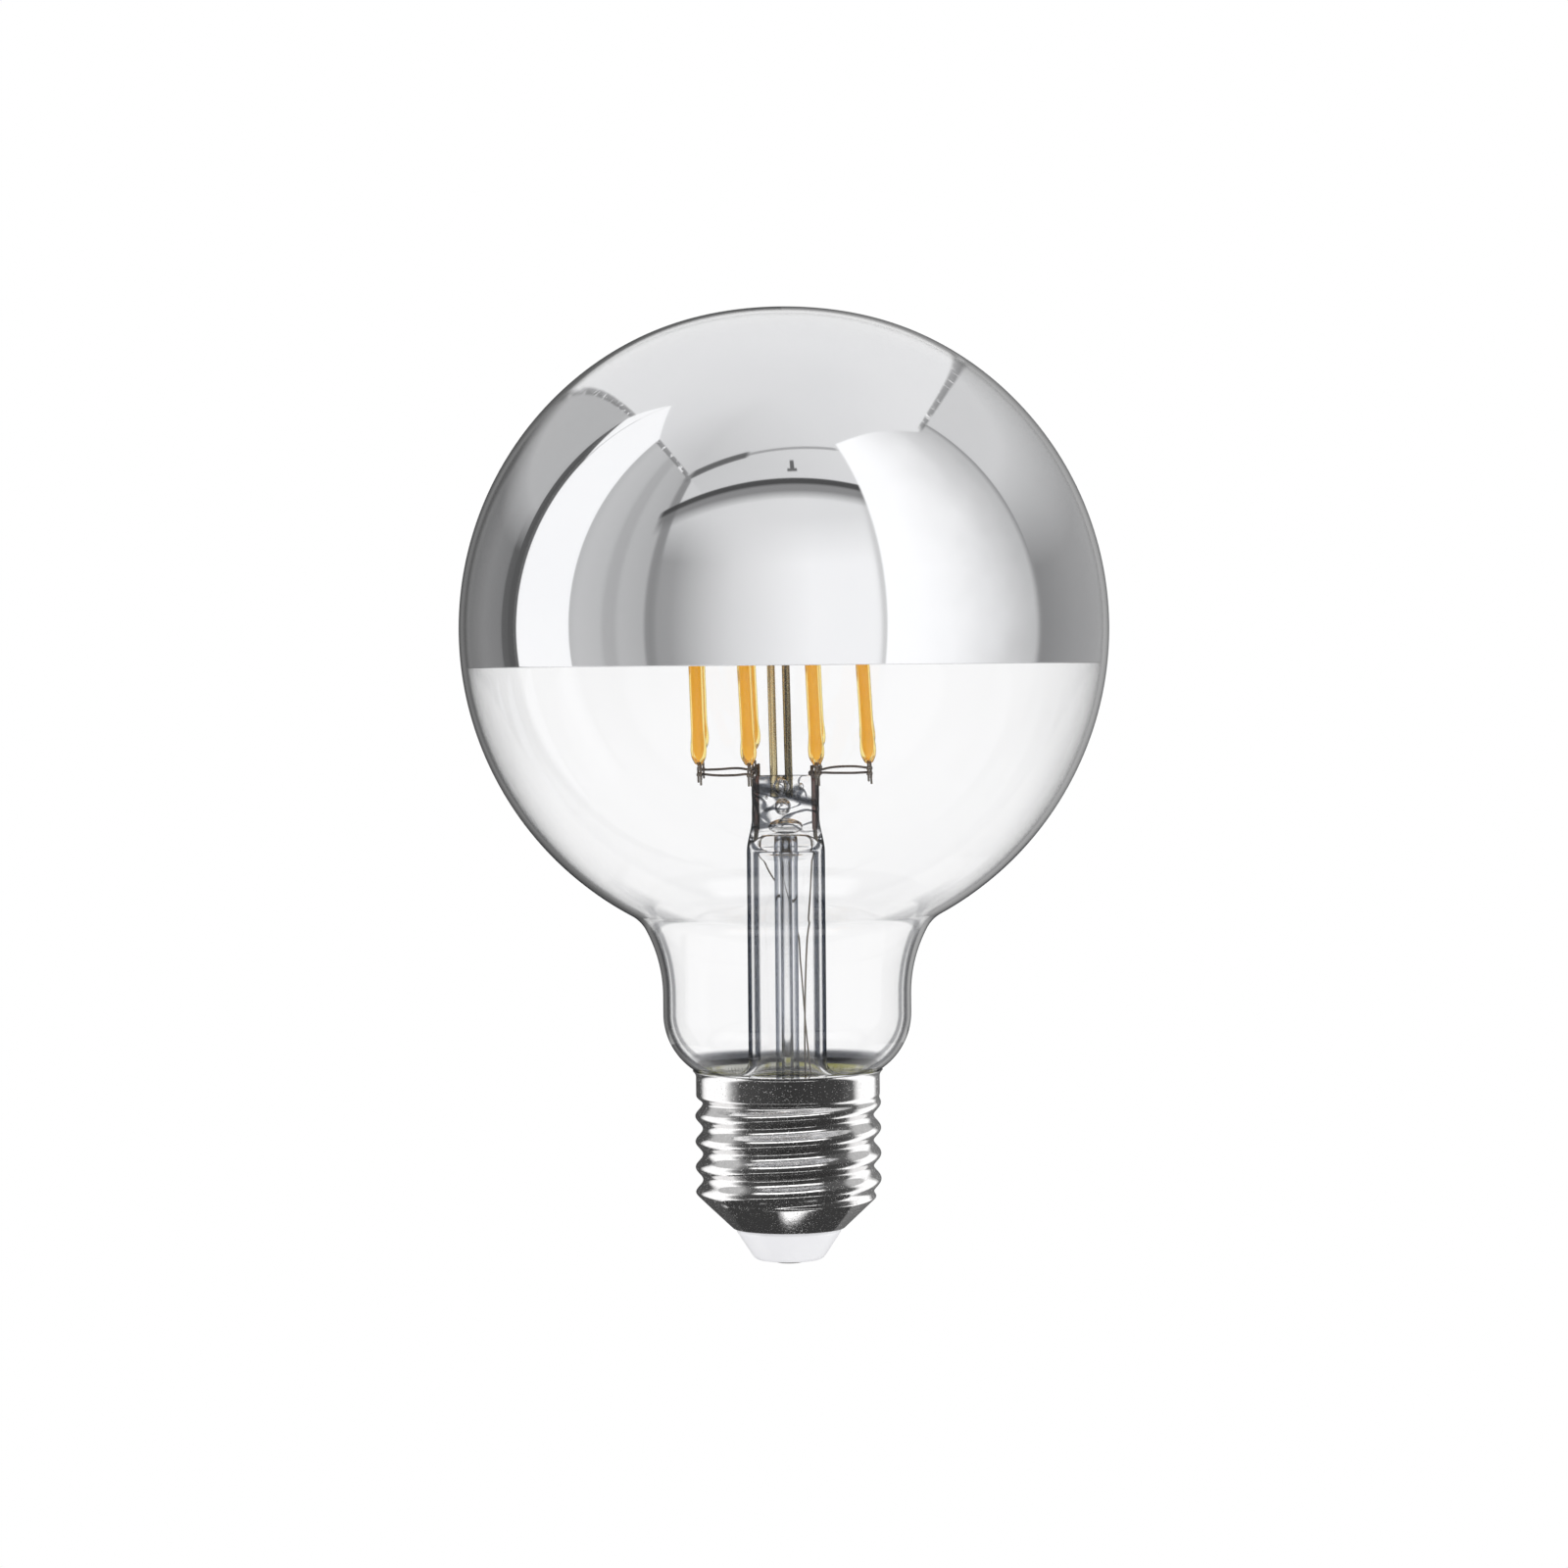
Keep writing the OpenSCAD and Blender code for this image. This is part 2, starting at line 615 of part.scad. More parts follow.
// A slack wire from the board's lower edge to the centre contact.
module contact_wire() {
    start_z = contact_rise + insulator_floor + 0.5;
    span = board_z - start_z;
    color("tomato")
        wire(concat([[0, 0, start_z]],
                curve([[0, 0, start_z + 0.3], [0.5, 0.9, start_z + 0.35 * span],
                    [0.3, 0.7, start_z + 0.7 * span], [0, 0, board_z - 0.3]], 4),
                [[0, 0, board_z]]),
            hookup_d, [1, 0, 0]);
}

// From the board's front face to the inside of the shell, in the hollow over the thread.
module shell_wire() {
    angle = -12;
    wall_r = (thread_root_r - sheet) * facet_in;
    foot_x = 0.375 * board_w;
    rise_z = thread_start_z + thread_pitch * (1.5 + angle / 360);
    wall_point = [(wall_r - 0.2) * cos(angle), (wall_r - 0.2) * sin(angle), rise_z];
    color("tomato")
        wire(concat([[foot_x, -board_t / 2, board_top_z - 2]],
                curve([[foot_x, -board_t / 2 - 0.3, board_top_z - 2],
                    [foot_x + 0.3, -1.8, board_top_z - 1.6],
                    [0.5 * (foot_x + wall_point[0]), -2.2, rise_z - 0.4], wall_point], 4)),
            hookup_d, [0, 0, 1]);
}

envelope();
crown_mirror();
stem_flare();
exhaust_tube();
lead_wire_left();
lead_wire_right();
support_rod(-1);  // support_rod_left
support_rod(1);  // support_rod_right
filament(1);  // filament_1
filament(2);  // filament_2
filament(3);  // filament_3
filament(4);  // filament_4
filament(5);  // filament_5
filament(6);  // filament_6
filament(7);  // filament_7
filament(8);  // filament_8
filament_tabs(1);  // filament_tabs_1
filament_tabs(2);  // filament_tabs_2
filament_tabs(3);  // filament_tabs_3
filament_tabs(4);  // filament_tabs_4
filament_tabs(5);  // filament_tabs_5
filament_tabs(6);  // filament_tabs_6
filament_tabs(7);  // filament_tabs_7
filament_tabs(8);  // filament_tabs_8
lower_carrier(-1, -1, front_wire_z);  // lower_carrier_left_front
lower_carrier(-1, 1, rear_wire_z);  // lower_carrier_left_rear
lower_carrier(1, -1, front_wire_z);  // lower_carrier_right_front
lower_carrier(1, 1, rear_wire_z);  // lower_carrier_right_rear
upper_ring();
screw_shell();
cap_insulator();
centre_contact();
basing_cement();
driver_board();
smoothing_capacitor();
bridge_rectifier();
driver_chip();
fusible_resistor();
contact_wire();
shell_wire();
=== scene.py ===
"""Silver crown bulb: mirrored globe lamp with eight LED filaments on a glass stem and an E27 cap."""

import math
import random

import bmesh
import bpy
from mathutils import Matrix, Vector, noise


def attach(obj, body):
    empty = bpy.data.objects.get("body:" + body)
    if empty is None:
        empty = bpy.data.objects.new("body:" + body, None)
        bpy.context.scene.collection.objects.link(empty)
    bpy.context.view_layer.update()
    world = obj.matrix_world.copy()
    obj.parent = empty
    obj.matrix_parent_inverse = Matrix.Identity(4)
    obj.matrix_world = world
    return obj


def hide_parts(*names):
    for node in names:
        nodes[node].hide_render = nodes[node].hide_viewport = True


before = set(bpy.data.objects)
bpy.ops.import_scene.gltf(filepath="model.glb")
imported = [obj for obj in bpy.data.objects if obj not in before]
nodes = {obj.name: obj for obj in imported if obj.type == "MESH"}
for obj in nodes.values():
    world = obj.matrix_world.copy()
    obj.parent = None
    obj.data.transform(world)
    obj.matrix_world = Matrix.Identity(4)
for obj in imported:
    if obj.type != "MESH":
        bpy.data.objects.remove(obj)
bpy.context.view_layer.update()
scene = bpy.context.scene
MM = 0.001

# Sizes in mm: the construction's, and a few of this model's own
globe_r, crown_drop, glass_wall, mirror_drop = 45.95, 0.55, 0.8, 5.1
neck_r, neck_len, shoulder_bend, neck_bend, bend_slope = 17.6, 2.6, 5.2, 20.0, math.radians(28)
foot_bend, sleeve_len = 9.5, 0.9
sheet, skirt_r, lip_r, lip_z, lip_depth = 0.3, 13.05, 13.5, 27.4, 0.9
cement_gap, lip_gap, sleeve_gap = 0.55, 0.14, 0.4
sleeve_r = skirt_r - sheet - cement_gap
foot_at_lip = math.acos((lip_r - sheet - lip_gap - neck_r + foot_bend) / foot_bend)
foot_z = lip_z + foot_bend * math.sin(foot_at_lip)
foot_end = math.acos((sleeve_r + sleeve_gap - neck_r + foot_bend) / foot_bend)
foot_end_z = foot_z - foot_bend * math.sin(foot_end)
seal_z = foot_end_z - sleeve_gap - sleeve_len
neck_bend_z = foot_z + neck_len
tight_x = neck_r + neck_bend - (neck_bend - shoulder_bend) * math.cos(bend_slope)
tight_z = neck_bend_z + (neck_bend - shoulder_bend) * math.sin(bend_slope)
globe_z = tight_z + math.sqrt((globe_r + shoulder_bend) ** 2 - tight_x ** 2)
globe_end = math.atan2(tight_z - globe_z, tight_x)
mirror_z = globe_z - mirror_drop
stem_r, stem_wall = 5.55, 1.15
flare_bend = 0.42 * (sleeve_r - stem_r)
flare_top_z, plain_tube_z = seal_z + flare_bend, 57.6
tube_top_z = seal_z + 32.5
press_half_w, press_half_t, jaw_r = 4.8, 2.1, 5.0
press_z, press_top_z, press_round, press_power = tube_top_z + 4.9, tube_top_z + 10.9, 0.9, 3.4
roof_z = press_z - 2.695
exhaust_r, exhaust_bore_r, exhaust_tip_z = 1.65, 0.65, 21.6
vent_z = press_z + 1.62
lead_x, lead_r, seal_wire_r, carrier_d, thin_carrier_r = 3.8, 0.25, 0.3, 0.45, 0.17
front_wire_z = press_top_z + carrier_d / 2 + 0.15
rear_wire_z = front_wire_z + carrier_d + 0.05
lead_top_z = rear_wire_z + carrier_d / 2 + 0.3
cage_r, cage_turn, cage_lean, foot_splay = 12.3, math.radians(-1.2), math.radians(2.45), 0.6
filament_z, rear_lift, filament_len, filament_r, swell_r = press_top_z + 1.6, 1.7, 38.0, 1.0, 1.175
core_share, core_inset = 0.52, 0.9
upper_ring_z = filament_z + rear_lift + filament_len + 1.4
thread_crest_r, thread_depth, thread_pitch, thread_start_z = 13.2, 1.05, 3.629, 15.5
fade_low_z, fade_high_z, shell_z, shell_edge_r, cone_rise = 22.8, 24.0, 5.0, 8.0, 0.95
insulator_end_r, insulator_r, insulator_wall, insulator_floor, insulator_top_z = 5.1, 7.45, 1.2, 2.2, 7.0
contact_r, contact_rise, shank_r = 2.5, 0.5, 1.0
board_top_z = insulator_top_z + 13.5


# Node trees
def maths_method(operation, reflected=False):
    """An arithmetic method for Value, or its reflected form."""
    if reflected:
        return lambda self, other: self.graph.maths(operation, other, self)
    return lambda self, other: self.graph.maths(operation, self, other)


class Value:
    """A number in a node tree, with arithmetic."""

    def __init__(self, graph, socket):
        self.graph, self.socket = graph, socket

    __add__, __radd__ = maths_method("ADD"), maths_method("ADD", True)
    __sub__, __rsub__ = maths_method("SUBTRACT"), maths_method("SUBTRACT", True)
    __mul__, __rmul__ = maths_method("MULTIPLY"), maths_method("MULTIPLY", True)
    __truediv__, __rtruediv__ = maths_method("DIVIDE"), maths_method("DIVIDE", True)

    def __neg__(self):
        return self.graph.maths("MULTIPLY", self, -1.0)


class Graph:
    """Builds one node tree."""

    def __init__(self, tree):
        self.tree = tree
        tree.nodes.clear()

    def node(self, kind, inputs=None, **settings):
        made = self.tree.nodes.new(kind)
        for key, value in settings.items():
            setattr(made, key, value)
        for key, value in (inputs or {}).items():
            self.feed(made.inputs[key], value)
        return made

    def feed(self, socket, value):
        if isinstance(value, Value):
            value = value.socket
        if isinstance(value, bpy.types.NodeSocket):
            self.tree.links.new(value, socket)
        else:
            socket.default_value = value

    def value(self, kind, output, inputs=None, **settings):
        return Value(self, self.node(kind, inputs, **settings).outputs[output])

    def maths(self, operation, a, b=0.0, c=0.0, clamp=False):
        return self.value("ShaderNodeMath", 0, {0: a, 1: b, 2: c}, operation=operation, use_clamp=clamp)

    def step(self, x, edge, soft):
        """0 below the edge and 1 above it, over a soft width."""
        return self.maths("MULTIPLY_ADD", x, 1 / soft, 0.5 - edge / soft, clamp=True)

    def band(self, x, low, high, soft):
        return self.step(x, low, soft) * (1.0 - self.step(x, high, soft))

    def most(self, first, *others):
        """The largest of several values."""
        for other in others:
            first = self.maths("MAXIMUM", first, other)
        return first

    def over(self, base, layer, mask):
        return self.maths("MULTIPLY_ADD", layer - base, mask, base)

    def dot(self, vector, direction):
        return self.value("ShaderNodeVectorMath", "Value", {0: vector, 1: direction}, operation="DOT_PRODUCT")

    def ramp(self, x, low, high, stops):
        """Grey levels (0 to 255 on screen) by position between low and high."""
        made = self.node("ShaderNodeValToRGB", {0: (x - low) / (high - low)})
        points = made.color_ramp.elements
        while len(points) < len(stops):
            points.new(0.5)
        for point, (position, level) in zip(points, stops):
            point.position = (position - low) / (high - low)
            point.color = (*[linear(level)] * 3, 1)
        return Value(self, made.outputs["Color"])

    def noise(self, scale, detail=2.0, roughness=0.5, vector=None, distortion=0.0):
        inputs = {"Scale": scale, "Detail": detail, "Roughness": roughness, "Distortion": distortion}
        inputs["Vector"] = vector or self.coordinates()
        return self.value("ShaderNodeTexNoise", 0, inputs, noise_dimensions="3D")

    def coordinates(self):
        return self.node("ShaderNodeTexCoord").outputs["Object"]

    def place(self, where=None):
        """The three parts of a position, of the object's own when none is given."""
        parts = self.node("ShaderNodeSeparateXYZ", {0: where or self.coordinates()}).outputs
        return [Value(self, part) for part in parts]

    def stretched(self, scale):
        """Object coordinates scaled by axis."""
        inputs = {"Vector": self.coordinates(), "Scale": scale}
        return self.node("ShaderNodeMapping", inputs).outputs["Vector"]

    def blend(self, factor, a, b):
        """Mixes two colours."""
        made = self.node("ShaderNodeMix", data_type="RGBA")
        self.feed(made.inputs[0], factor)
        self.feed(made.inputs[6], a)
        self.feed(made.inputs[7], b)
        return made.outputs[2]

    def bump(self, height, strength, distance):
        inputs = {"Height": height, "Strength": strength, "Distance": distance}
        return self.node("ShaderNodeBump", inputs).outputs["Normal"]


def linear(level):
    """Scene-linear value of a grey level from 0 to 255."""
    v = level / 255
    return v / 12.92 if v <= 0.04045 else ((v + 0.055) / 1.055) ** 2.4


def tint(r, g, b):
    """Scene-linear colour of three levels from 0 to 255."""
    return (linear(r), linear(g), linear(b), 1.0)


def material(name):
    """The node tree of a new material, which it holds as its look."""
    made = bpy.data.materials.new(name)
    made.use_nodes = True
    graph = Graph(made.node_tree)
    graph.look = made
    return graph


def surfaced(graph, shader):
    """The material, with this shader as its surface."""
    graph.node("ShaderNodeOutputMaterial", {"Surface": shader.outputs[0]})
    return graph.look


def principled(graph, **inputs):
    named = {key.replace("_", " "): value for key, value in inputs.items()}
    return surfaced(graph, graph.node("ShaderNodeBsdfPrincipled", named))


# Materials
def clear_glass(name, edge_shade_level, edge, ripple, ripple_scale, ior, local=None):
    """Blown glass: a dielectric with painted shade where it is seen edge on, standing in for the dark its
    edges refract, and a faint ripple. The edge gives the facing at which the painted shade starts and ends,
    and its share. A local function may change the wave and the share of painted shade over the piece."""
    graph = material(name)
    wave = graph.noise(ripple_scale, 2.0, 0.4)
    facing = graph.value("ShaderNodeLayerWeight", "Facing", {"Blend": 0.5})
    start, end, most = edge
    rise = graph.step(facing, (start + end) / 2, end - start)
    share = rise * rise * (3.0 - 2.0 * rise) * most
    if local:
        wave, share = local(graph, graph.place(), facing, wave, share)
    normal = graph.bump(wave, 1.0, ripple)
    # Clear glass, and dark glass whose tint is the painted edge shade
    clear, dark = [graph.node("ShaderNodeBsdfGlass", {"IOR": ior, "Roughness": 0.0, "Normal": normal,
                                                      "Color": colour}).outputs[0]
                   for colour in ((0.991, 0.991, 0.992, 1.0), tint(*edge_shade_level))]
    return surfaced(graph, graph.node("ShaderNodeMixShader", {0: share, 1: clear, 2: dark}))


def pressed_stem(graph, place, facing, wave, share):
    """The press is wavy, with painted shade along its creases, a slanted band and its sides for the dark
    they refract; the tube's wall shows two painted dark lines with a clear gap between; the flare at the
    stem's foot stays clear."""
    across, deep, height = place
    pressed = graph.step(height, (roof_z + 0.8) * MM, 0.0008)
    wave = wave + pressed * graph.noise(190.0, 0.0, 0.4) * 26.0
    from_axis = graph.maths("SQRT", across * across + deep * deep)
    skin = graph.step(from_axis, (stem_r - 0.5 * stem_wall) * MM, 0.0001)
    tube = graph.step(height, (seal_z + 3.2) * MM, 0.001) * (1.0 - pressed)
    # Two painted dark lines on the tube's wall, by facing
    lines = graph.most(graph.step(facing, 0.56, 0.08), graph.band(facing, 0.28, 0.45, 0.06) * 0.92)
    share = graph.over(share * (0.15 + 0.85 * pressed), lines, tube * skin)
    swirl = graph.noise(1.0, 1.0, 0.4, vector=graph.stretched((150.0, 150.0, 260.0)), distortion=1.0)
    # Painted shade in swirled creases, a slanted band and the press's sides
    crease = graph.band(swirl, 0.46, 0.53, 0.03) * pressed * 0.9
    sway = graph.noise(260.0, 1.0, 0.5) * 0.0014
    slant = graph.band(height + across * 0.272 + sway, 0.0667, 0.0678, 0.0005) * pressed * 0.85
    sides = graph.step(graph.maths("ABSOLUTE", across), 0.0044, 0.0004) * pressed * 0.9
    return wave, graph.most(share, crease, slant, sides)


def darker_neck(graph, place, facing, wave, share):
    """The neck carries the full painted edge shade and a second painted dark outline, the globe a lighter
    share of it;
    a dark slate band lies behind the lip, on the back half only."""
    _, behind, height = place
    # The neck keeps the full painted edge shade; above it the globe keeps less
    neck = 1.0 - graph.step(height, 0.0615, 0.006)
    # A second painted dark outline inside the edge, below 50 mm
    second = graph.band(facing, 0.66, 0.75, 0.04) * (1.0 - graph.step(height, 0.050, 0.008)) * 0.55
    # A dark slate band behind the lip, on the back half only
    back_band = graph.band(height, 0.0267, 0.0285, 0.0005) * graph.step(behind, 0.001, 0.006) * 0.72
    return wave, graph.most(share * (0.42 + 0.58 * neck), second, back_band)


def crown_silver():
    """Vapour-deposited film: bright, faintly uneven."""
    graph = material("crown_silver")
    cloud = graph.noise(45.0, 3.0, 0.55)
    streak = graph.noise(700.0, 2.0, 0.6)
    colour = graph.blend(cloud, tint(240, 241, 243), tint(247, 247, 248))
    rough = 0.012 + 0.02 * cloud * streak
    return principled(graph, Base_Color=colour, Metallic=1.0, Roughness=rough,
                      Normal=graph.bump(cloud, 0.25, 0.00002))


def phosphor_core():
    """Orange phosphor over the chips, with faint darker grains and a faint painted glow, though the lamp is
    unlit.
    """
    graph = material("phosphor_core")
    grain = graph.noise(2600.0, 3.0, 0.6)
    patch = graph.noise(240.0)
    base = graph.blend(patch, tint(250, 192, 58), tint(254, 208, 82))
    colour = graph.blend(grain * 0.5, base, tint(236, 160, 36))
    # The emission is a painted glow that lightens the unlit phosphor
    return principled(graph, Base_Color=colour, Roughness=0.4 + 0.2 * grain, Specular_IOR_Level=0.4,
                      Emission_Color=colour, Emission_Strength=0.42,
                      Normal=graph.bump(grain, 0.35, 0.00004))


def silicone_coat():
    """Clear yellow silicone moulded round the phosphor."""
    graph = material("silicone_coat")
    cloud = graph.noise(330.0)
    skin = graph.noise(900.0)
    colour = graph.blend(cloud, tint(252, 226, 128), tint(255, 238, 166))
    return principled(graph, Base_Color=colour, Transmission_Weight=1.0, IOR=1.41,
                      Roughness=0.06 + 0.1 * cloud, Normal=graph.bump(skin, 0.3, 0.00003))


def drawn_metal(name, light, dark, rough, scale=1500.0):
    """Drawn wire or strip: fine lengthwise marks."""
    graph = material(name)
    mark = graph.noise(1.0, 3.0, 0.6, vector=graph.stretched((scale, scale, scale / 14)))
    stain = graph.noise(420.0)
    colour = graph.blend(stain, tint(*dark), tint(*light))
    return principled(graph, Base_Color=colour, Metallic=1.0, Roughness=rough + 0.18 * mark,
                      Normal=graph.bump(mark, 0.4, 0.00002))


def cap_plating():
    """Nickel-plated sheet with small dull specks from the rolling."""
    graph = material("cap_plating")
    grain = graph.noise(5200.0, 2.0, 0.7)
    coarse = graph.noise(1500.0, 3.0, 0.65)
    specks = graph.step(graph.noise(5400.0, 1.0, 0.5), 0.66, 0.05) * graph.step(coarse, 0.47, 0.1)
    colour = graph.blend(coarse, tint(212, 211, 212), tint(240, 239, 238))
    return principled(graph, Base_Color=colour, Metallic=1.0, Roughness=0.05 + 0.04 * grain + 0.4 * specks,
                      Normal=graph.bump(grain * 0.4 + coarse * 0.2 + specks * 0.6, 0.45, 0.000025))


def insulator_white():
    """Moulded white insulator, faintly lavender, with a soft gloss."""
    graph = material("insulator_white")
    cloud = graph.noise(320.0, 3.0, 0.5)
    pit = graph.noise(4200.0, 2.0, 0.6)
    colour = graph.blend(cloud, tint(236, 236, 240), tint(243, 243, 245))
    return principled(graph, Base_Color=colour, Roughness=0.32 + 0.16 * pit, Specular_IOR_Level=0.5,
                      Normal=graph.bump(pit, 0.3, 0.00003))


def cement_resin():
    """Olive basing cement, porous, with a painted glow that lightens it where it sits in shade."""
    graph = material("cement_resin")
    pore = graph.noise(1700.0, 4.0, 0.6)
    cloud = graph.noise(300.0)
    patches = graph.step(graph.noise(190.0), 0.5, 0.12)
    colour = graph.blend(patches, graph.blend(cloud, tint(150, 150, 74), tint(190, 186, 116)),
                         graph.blend(cloud, tint(206, 206, 196), tint(226, 226, 220)))
    # The emission is a painted glow that lightens the cement where it sits in shade inside the cap
    return principled(graph, Base_Color=colour, Roughness=0.55 + 0.25 * pore,
                      Normal=graph.bump(pore, 0.6, 0.0001), Emission_Color=colour, Emission_Strength=0.52)


def plastic(name, light, dark, rough, scale, depth):
    """Moulded, lacquered or sleeved part with cloudy colour and fine pits."""
    graph = material(name)
    cloud = graph.noise(scale / 6)
    pit = graph.noise(scale, 3.0, 0.6)
    return principled(graph, Base_Color=graph.blend(cloud, tint(*dark), tint(*light)),
                      Roughness=rough + 0.2 * pit, Normal=graph.bump(pit, 0.5, depth))


# Shapes
def added(name, data):
    """A new object in the scene."""
    thing = bpy.data.objects.new(name, data)
    scene.collection.objects.link(thing)
    return thing


def mesh_of(name, points, faces):
    """A mesh from points in mm and their faces."""
    mesh = bpy.data.meshes.new(name)
    mesh.from_pydata([(x * MM, y * MM, z * MM) for x, y, z in points], [], faces)
    return mesh


def finished(name, mesh, look, material_slot, node=None):
    """A smooth closed piece with its normals outward, riding on the lamp."""
    tidy = bmesh.new()
    tidy.from_mesh(mesh)
    bmesh.ops.remove_doubles(tidy, verts=tidy.verts, dist=1e-8)
    bmesh.ops.recalc_face_normals(tidy, faces=tidy.faces)
    tidy.to_mesh(mesh)
    tidy.free()
    mesh.shade_smooth()
    mesh.materials.clear()
    mesh.materials.append(look)
    piece = added(name, mesh)
    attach(piece, "root")
    if node:
        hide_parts(node)
    return piece


def mesh_piece(name, points, faces, look, material_slot, node=None):
    """A piece from points in mm and their faces."""
    return finished(name, mesh_of(name, points, faces), look, material_slot, node)


# Shapes grown by geometry nodes
def open_tool(name, inputs):
    """A geometry node tree with named inputs, and the sockets of its group input."""
    tree = bpy.data.node_groups.new(name, "GeometryNodeTree")
    tree.interface.new_socket("Geometry", in_out="OUTPUT", socket_type="NodeSocketGeometry")
    tree.interface.new_socket("Geometry", in_out="INPUT", socket_type="NodeSocketGeometry")
    for label, kind in inputs.items():
        tree.interface.new_socket(label, in_out="INPUT", socket_type="NodeSocket" + kind)
    tree.interface.new_socket("Look", in_out="INPUT", socket_type="NodeSocketMaterial")
    graph = Graph(tree)
    return graph, graph.node("NodeGroupInput").outputs


def close_tool(graph, entry, geometry):
    real = graph.node("GeometryNodeRealizeInstances", {0: geometry})
    dressed = graph.node("GeometryNodeSetMaterial", {"Geometry": real.outputs[0], "Material": entry["Look"]})
    graph.node("NodeGroupOutput", {"Geometry": dressed.outputs[0]})
    return graph.tree


def grown(name, tool, seed_mesh, values, look, material_slot, node=None):
    """A piece that a tree grows from a seed mesh, kept as a plain mesh."""
    seed = added(name + "_seed", seed_mesh)
    modifier = seed.modifiers.new("grow", "NODES")
    modifier.node_group = tool
    labels = {item.name: item.identifier for item in tool.interface.items_tree if item.in_out == "INPUT"}
    for label, value in {**values, "Look": look}.items():
        modifier[labels[label]] = value
    evaluated = seed.evaluated_get(bpy.context.evaluated_depsgraph_get())
    mesh = bpy.data.meshes.new_from_object(evaluated)
    bpy.data.objects.remove(seed)
    return finished(name, mesh, look, material_slot, node)


def wire_tool():
    """Round wire along the seed's edges; the attribute "share" thins it from point to point."""
    graph, entry = open_tool("wire", {"Thickness": "Float", "Sides": "Int"})
    curve = graph.node("GeometryNodeMeshToCurve", {"Mesh": entry["Geometry"]})
    share = graph.node("GeometryNodeInputNamedAttribute", {"Name": "share"}, data_type="FLOAT")
    ring = graph.node("GeometryNodeCurvePrimitiveCircle", {"Resolution": entry["Sides"],
                                                           "Radius": entry["Thickness"]})
    tube = graph.node("GeometryNodeCurveToMesh", {"Curve": curve.outputs[0], "Profile Curve": ring.outputs[0],
                                                  "Scale": share.outputs[0], "Fill Caps": True})
    return close_tool(graph, entry, tube.outputs[0])


def rolled_shell_tool(around, levels):
    """Screw shell with its rolled thread, skirt, flared lip and cone, from a grid whose rows run
    up the outside and down the inside."""
    sizes = ("Crest radius", "Thread depth", "Pitch", "Thread start", "Fade low", "Fade high", "Skirt radius",
             "Lip radius", "Lip depth", "Edge radius", "Cone rise", "Bottom", "Top", "Sheet")
    graph, entry = open_tool("rolled_shell", {size: "Float" for size in sizes})
    (crest, depth, pitch, start, fade_low, fade_high, skirt, lip, lip_height, edge_radius, rise, bottom, top,
     thickness) = (Value(graph, entry[size]) for size in sizes)
    rows = 2 * levels + 2
    grid = graph.node("GeometryNodeMeshGrid", {"Size X": 1.0, "Size Y": 1.0, "Vertices X": around + 1,
                                               "Vertices Y": rows + 1})
    across, along, _ = graph.place(graph.node("GeometryNodeInputPosition").outputs[0])
    angle = across * math.tau
    row = (along + 0.5) * rows
    level = graph.maths("MAXIMUM", graph.maths("MINIMUM", row, rows - 1 - row), 0.0)
    inside = graph.step(row, levels + 0.5, 0.1) * (1.0 - graph.step(row, rows - 0.5, 0.1))
    z = bottom + (top - bottom) * level / levels
    wave = 0.5 + 0.5 * graph.maths("COSINE", math.tau * (z - start) / pitch - angle)
    fade = graph.maths("DIVIDE", z - fade_low, fade_high - fade_low, clamp=True)
    fade = fade * fade * (3.0 - 2.0 * fade)
    bent = graph.maths("DIVIDE", z - top + lip_height, lip_height, clamp=True)
    body = graph.over(crest - depth + depth * wave, skirt, fade) + (lip - skirt) * bent * bent
    radius = graph.maths("SMOOTH_MIN", body, edge_radius + (z - bottom) / rise, 0.0005) - thickness * inside
    spot = graph.node("ShaderNodeCombineXYZ", {0: radius * graph.maths("COSINE", angle),
                                               1: radius * graph.maths("SINE", angle), 2: z})
    rolled = graph.node("GeometryNodeSetPosition", {"Geometry": grid.outputs[0], "Position": spot.outputs[0]})
    sealed = graph.node("GeometryNodeMergeByDistance", {"Geometry": rolled.outputs[0], "Distance": 1e-7})
    return close_tool(graph, entry, sealed.outputs[0])


wire_maker = wire_tool()


def wire_piece(name, paths, thickness, sides, look, material_slot, node=None, share=None):
    """Wires along paths in mm with rounded ends; share gives the thickness by the place along the path."""
    points, edges, shares = [], [], []
    for path in paths:
        path = [Vector(p) for p in path]
        last = len(path) - 1
        start, end = (path[1] - path[0]).normalized(), (path[-1] - path[-2]).normalized()
        level = [share(i / last) if share else 1.0 for i in range(last + 1)]
        path = [path[0], path[0] + start * 0.3 * thickness * level[0]] + path[1:-1] + [
            path[-1] - end * 0.3 * thickness * level[-1], path[-1]]
        level = [0.6 * level[0], level[0]] + level[1:-1] + [level[-1], 0.6 * level[-1]]
        first = len(points)
        points += path
        shares += level
        edges += [(first + i, first + i + 1) for i in range(len(path) - 1)]
    seed = bpy.data.meshes.new(name + "_path")
    seed.from_pydata([p * MM for p in points], edges, [])
    seed.attributes.new("share", "FLOAT", "POINT").data.foreach_set("value", shares)
    sizes = {"Thickness": thickness * MM, "Sides": sides}
    return grown(name, wire_maker, seed, sizes, look, material_slot, node)


def arc(x, z, r, a, b, steps):
    """Points of an arc from angle a to angle b."""
    return [(x + r * math.cos(a + (b - a) * i / steps), z + r * math.sin(a + (b - a) * i / steps))
            for i in range(steps + 1)]


def corner_curve(a, b, c, steps):
    """A parabola from a to c that leans towards b."""
    return [(1 - t) ** 2 * a + 2 * t * (1 - t) * b + t * t * c for t in [s / steps for s in range(steps + 1)]]


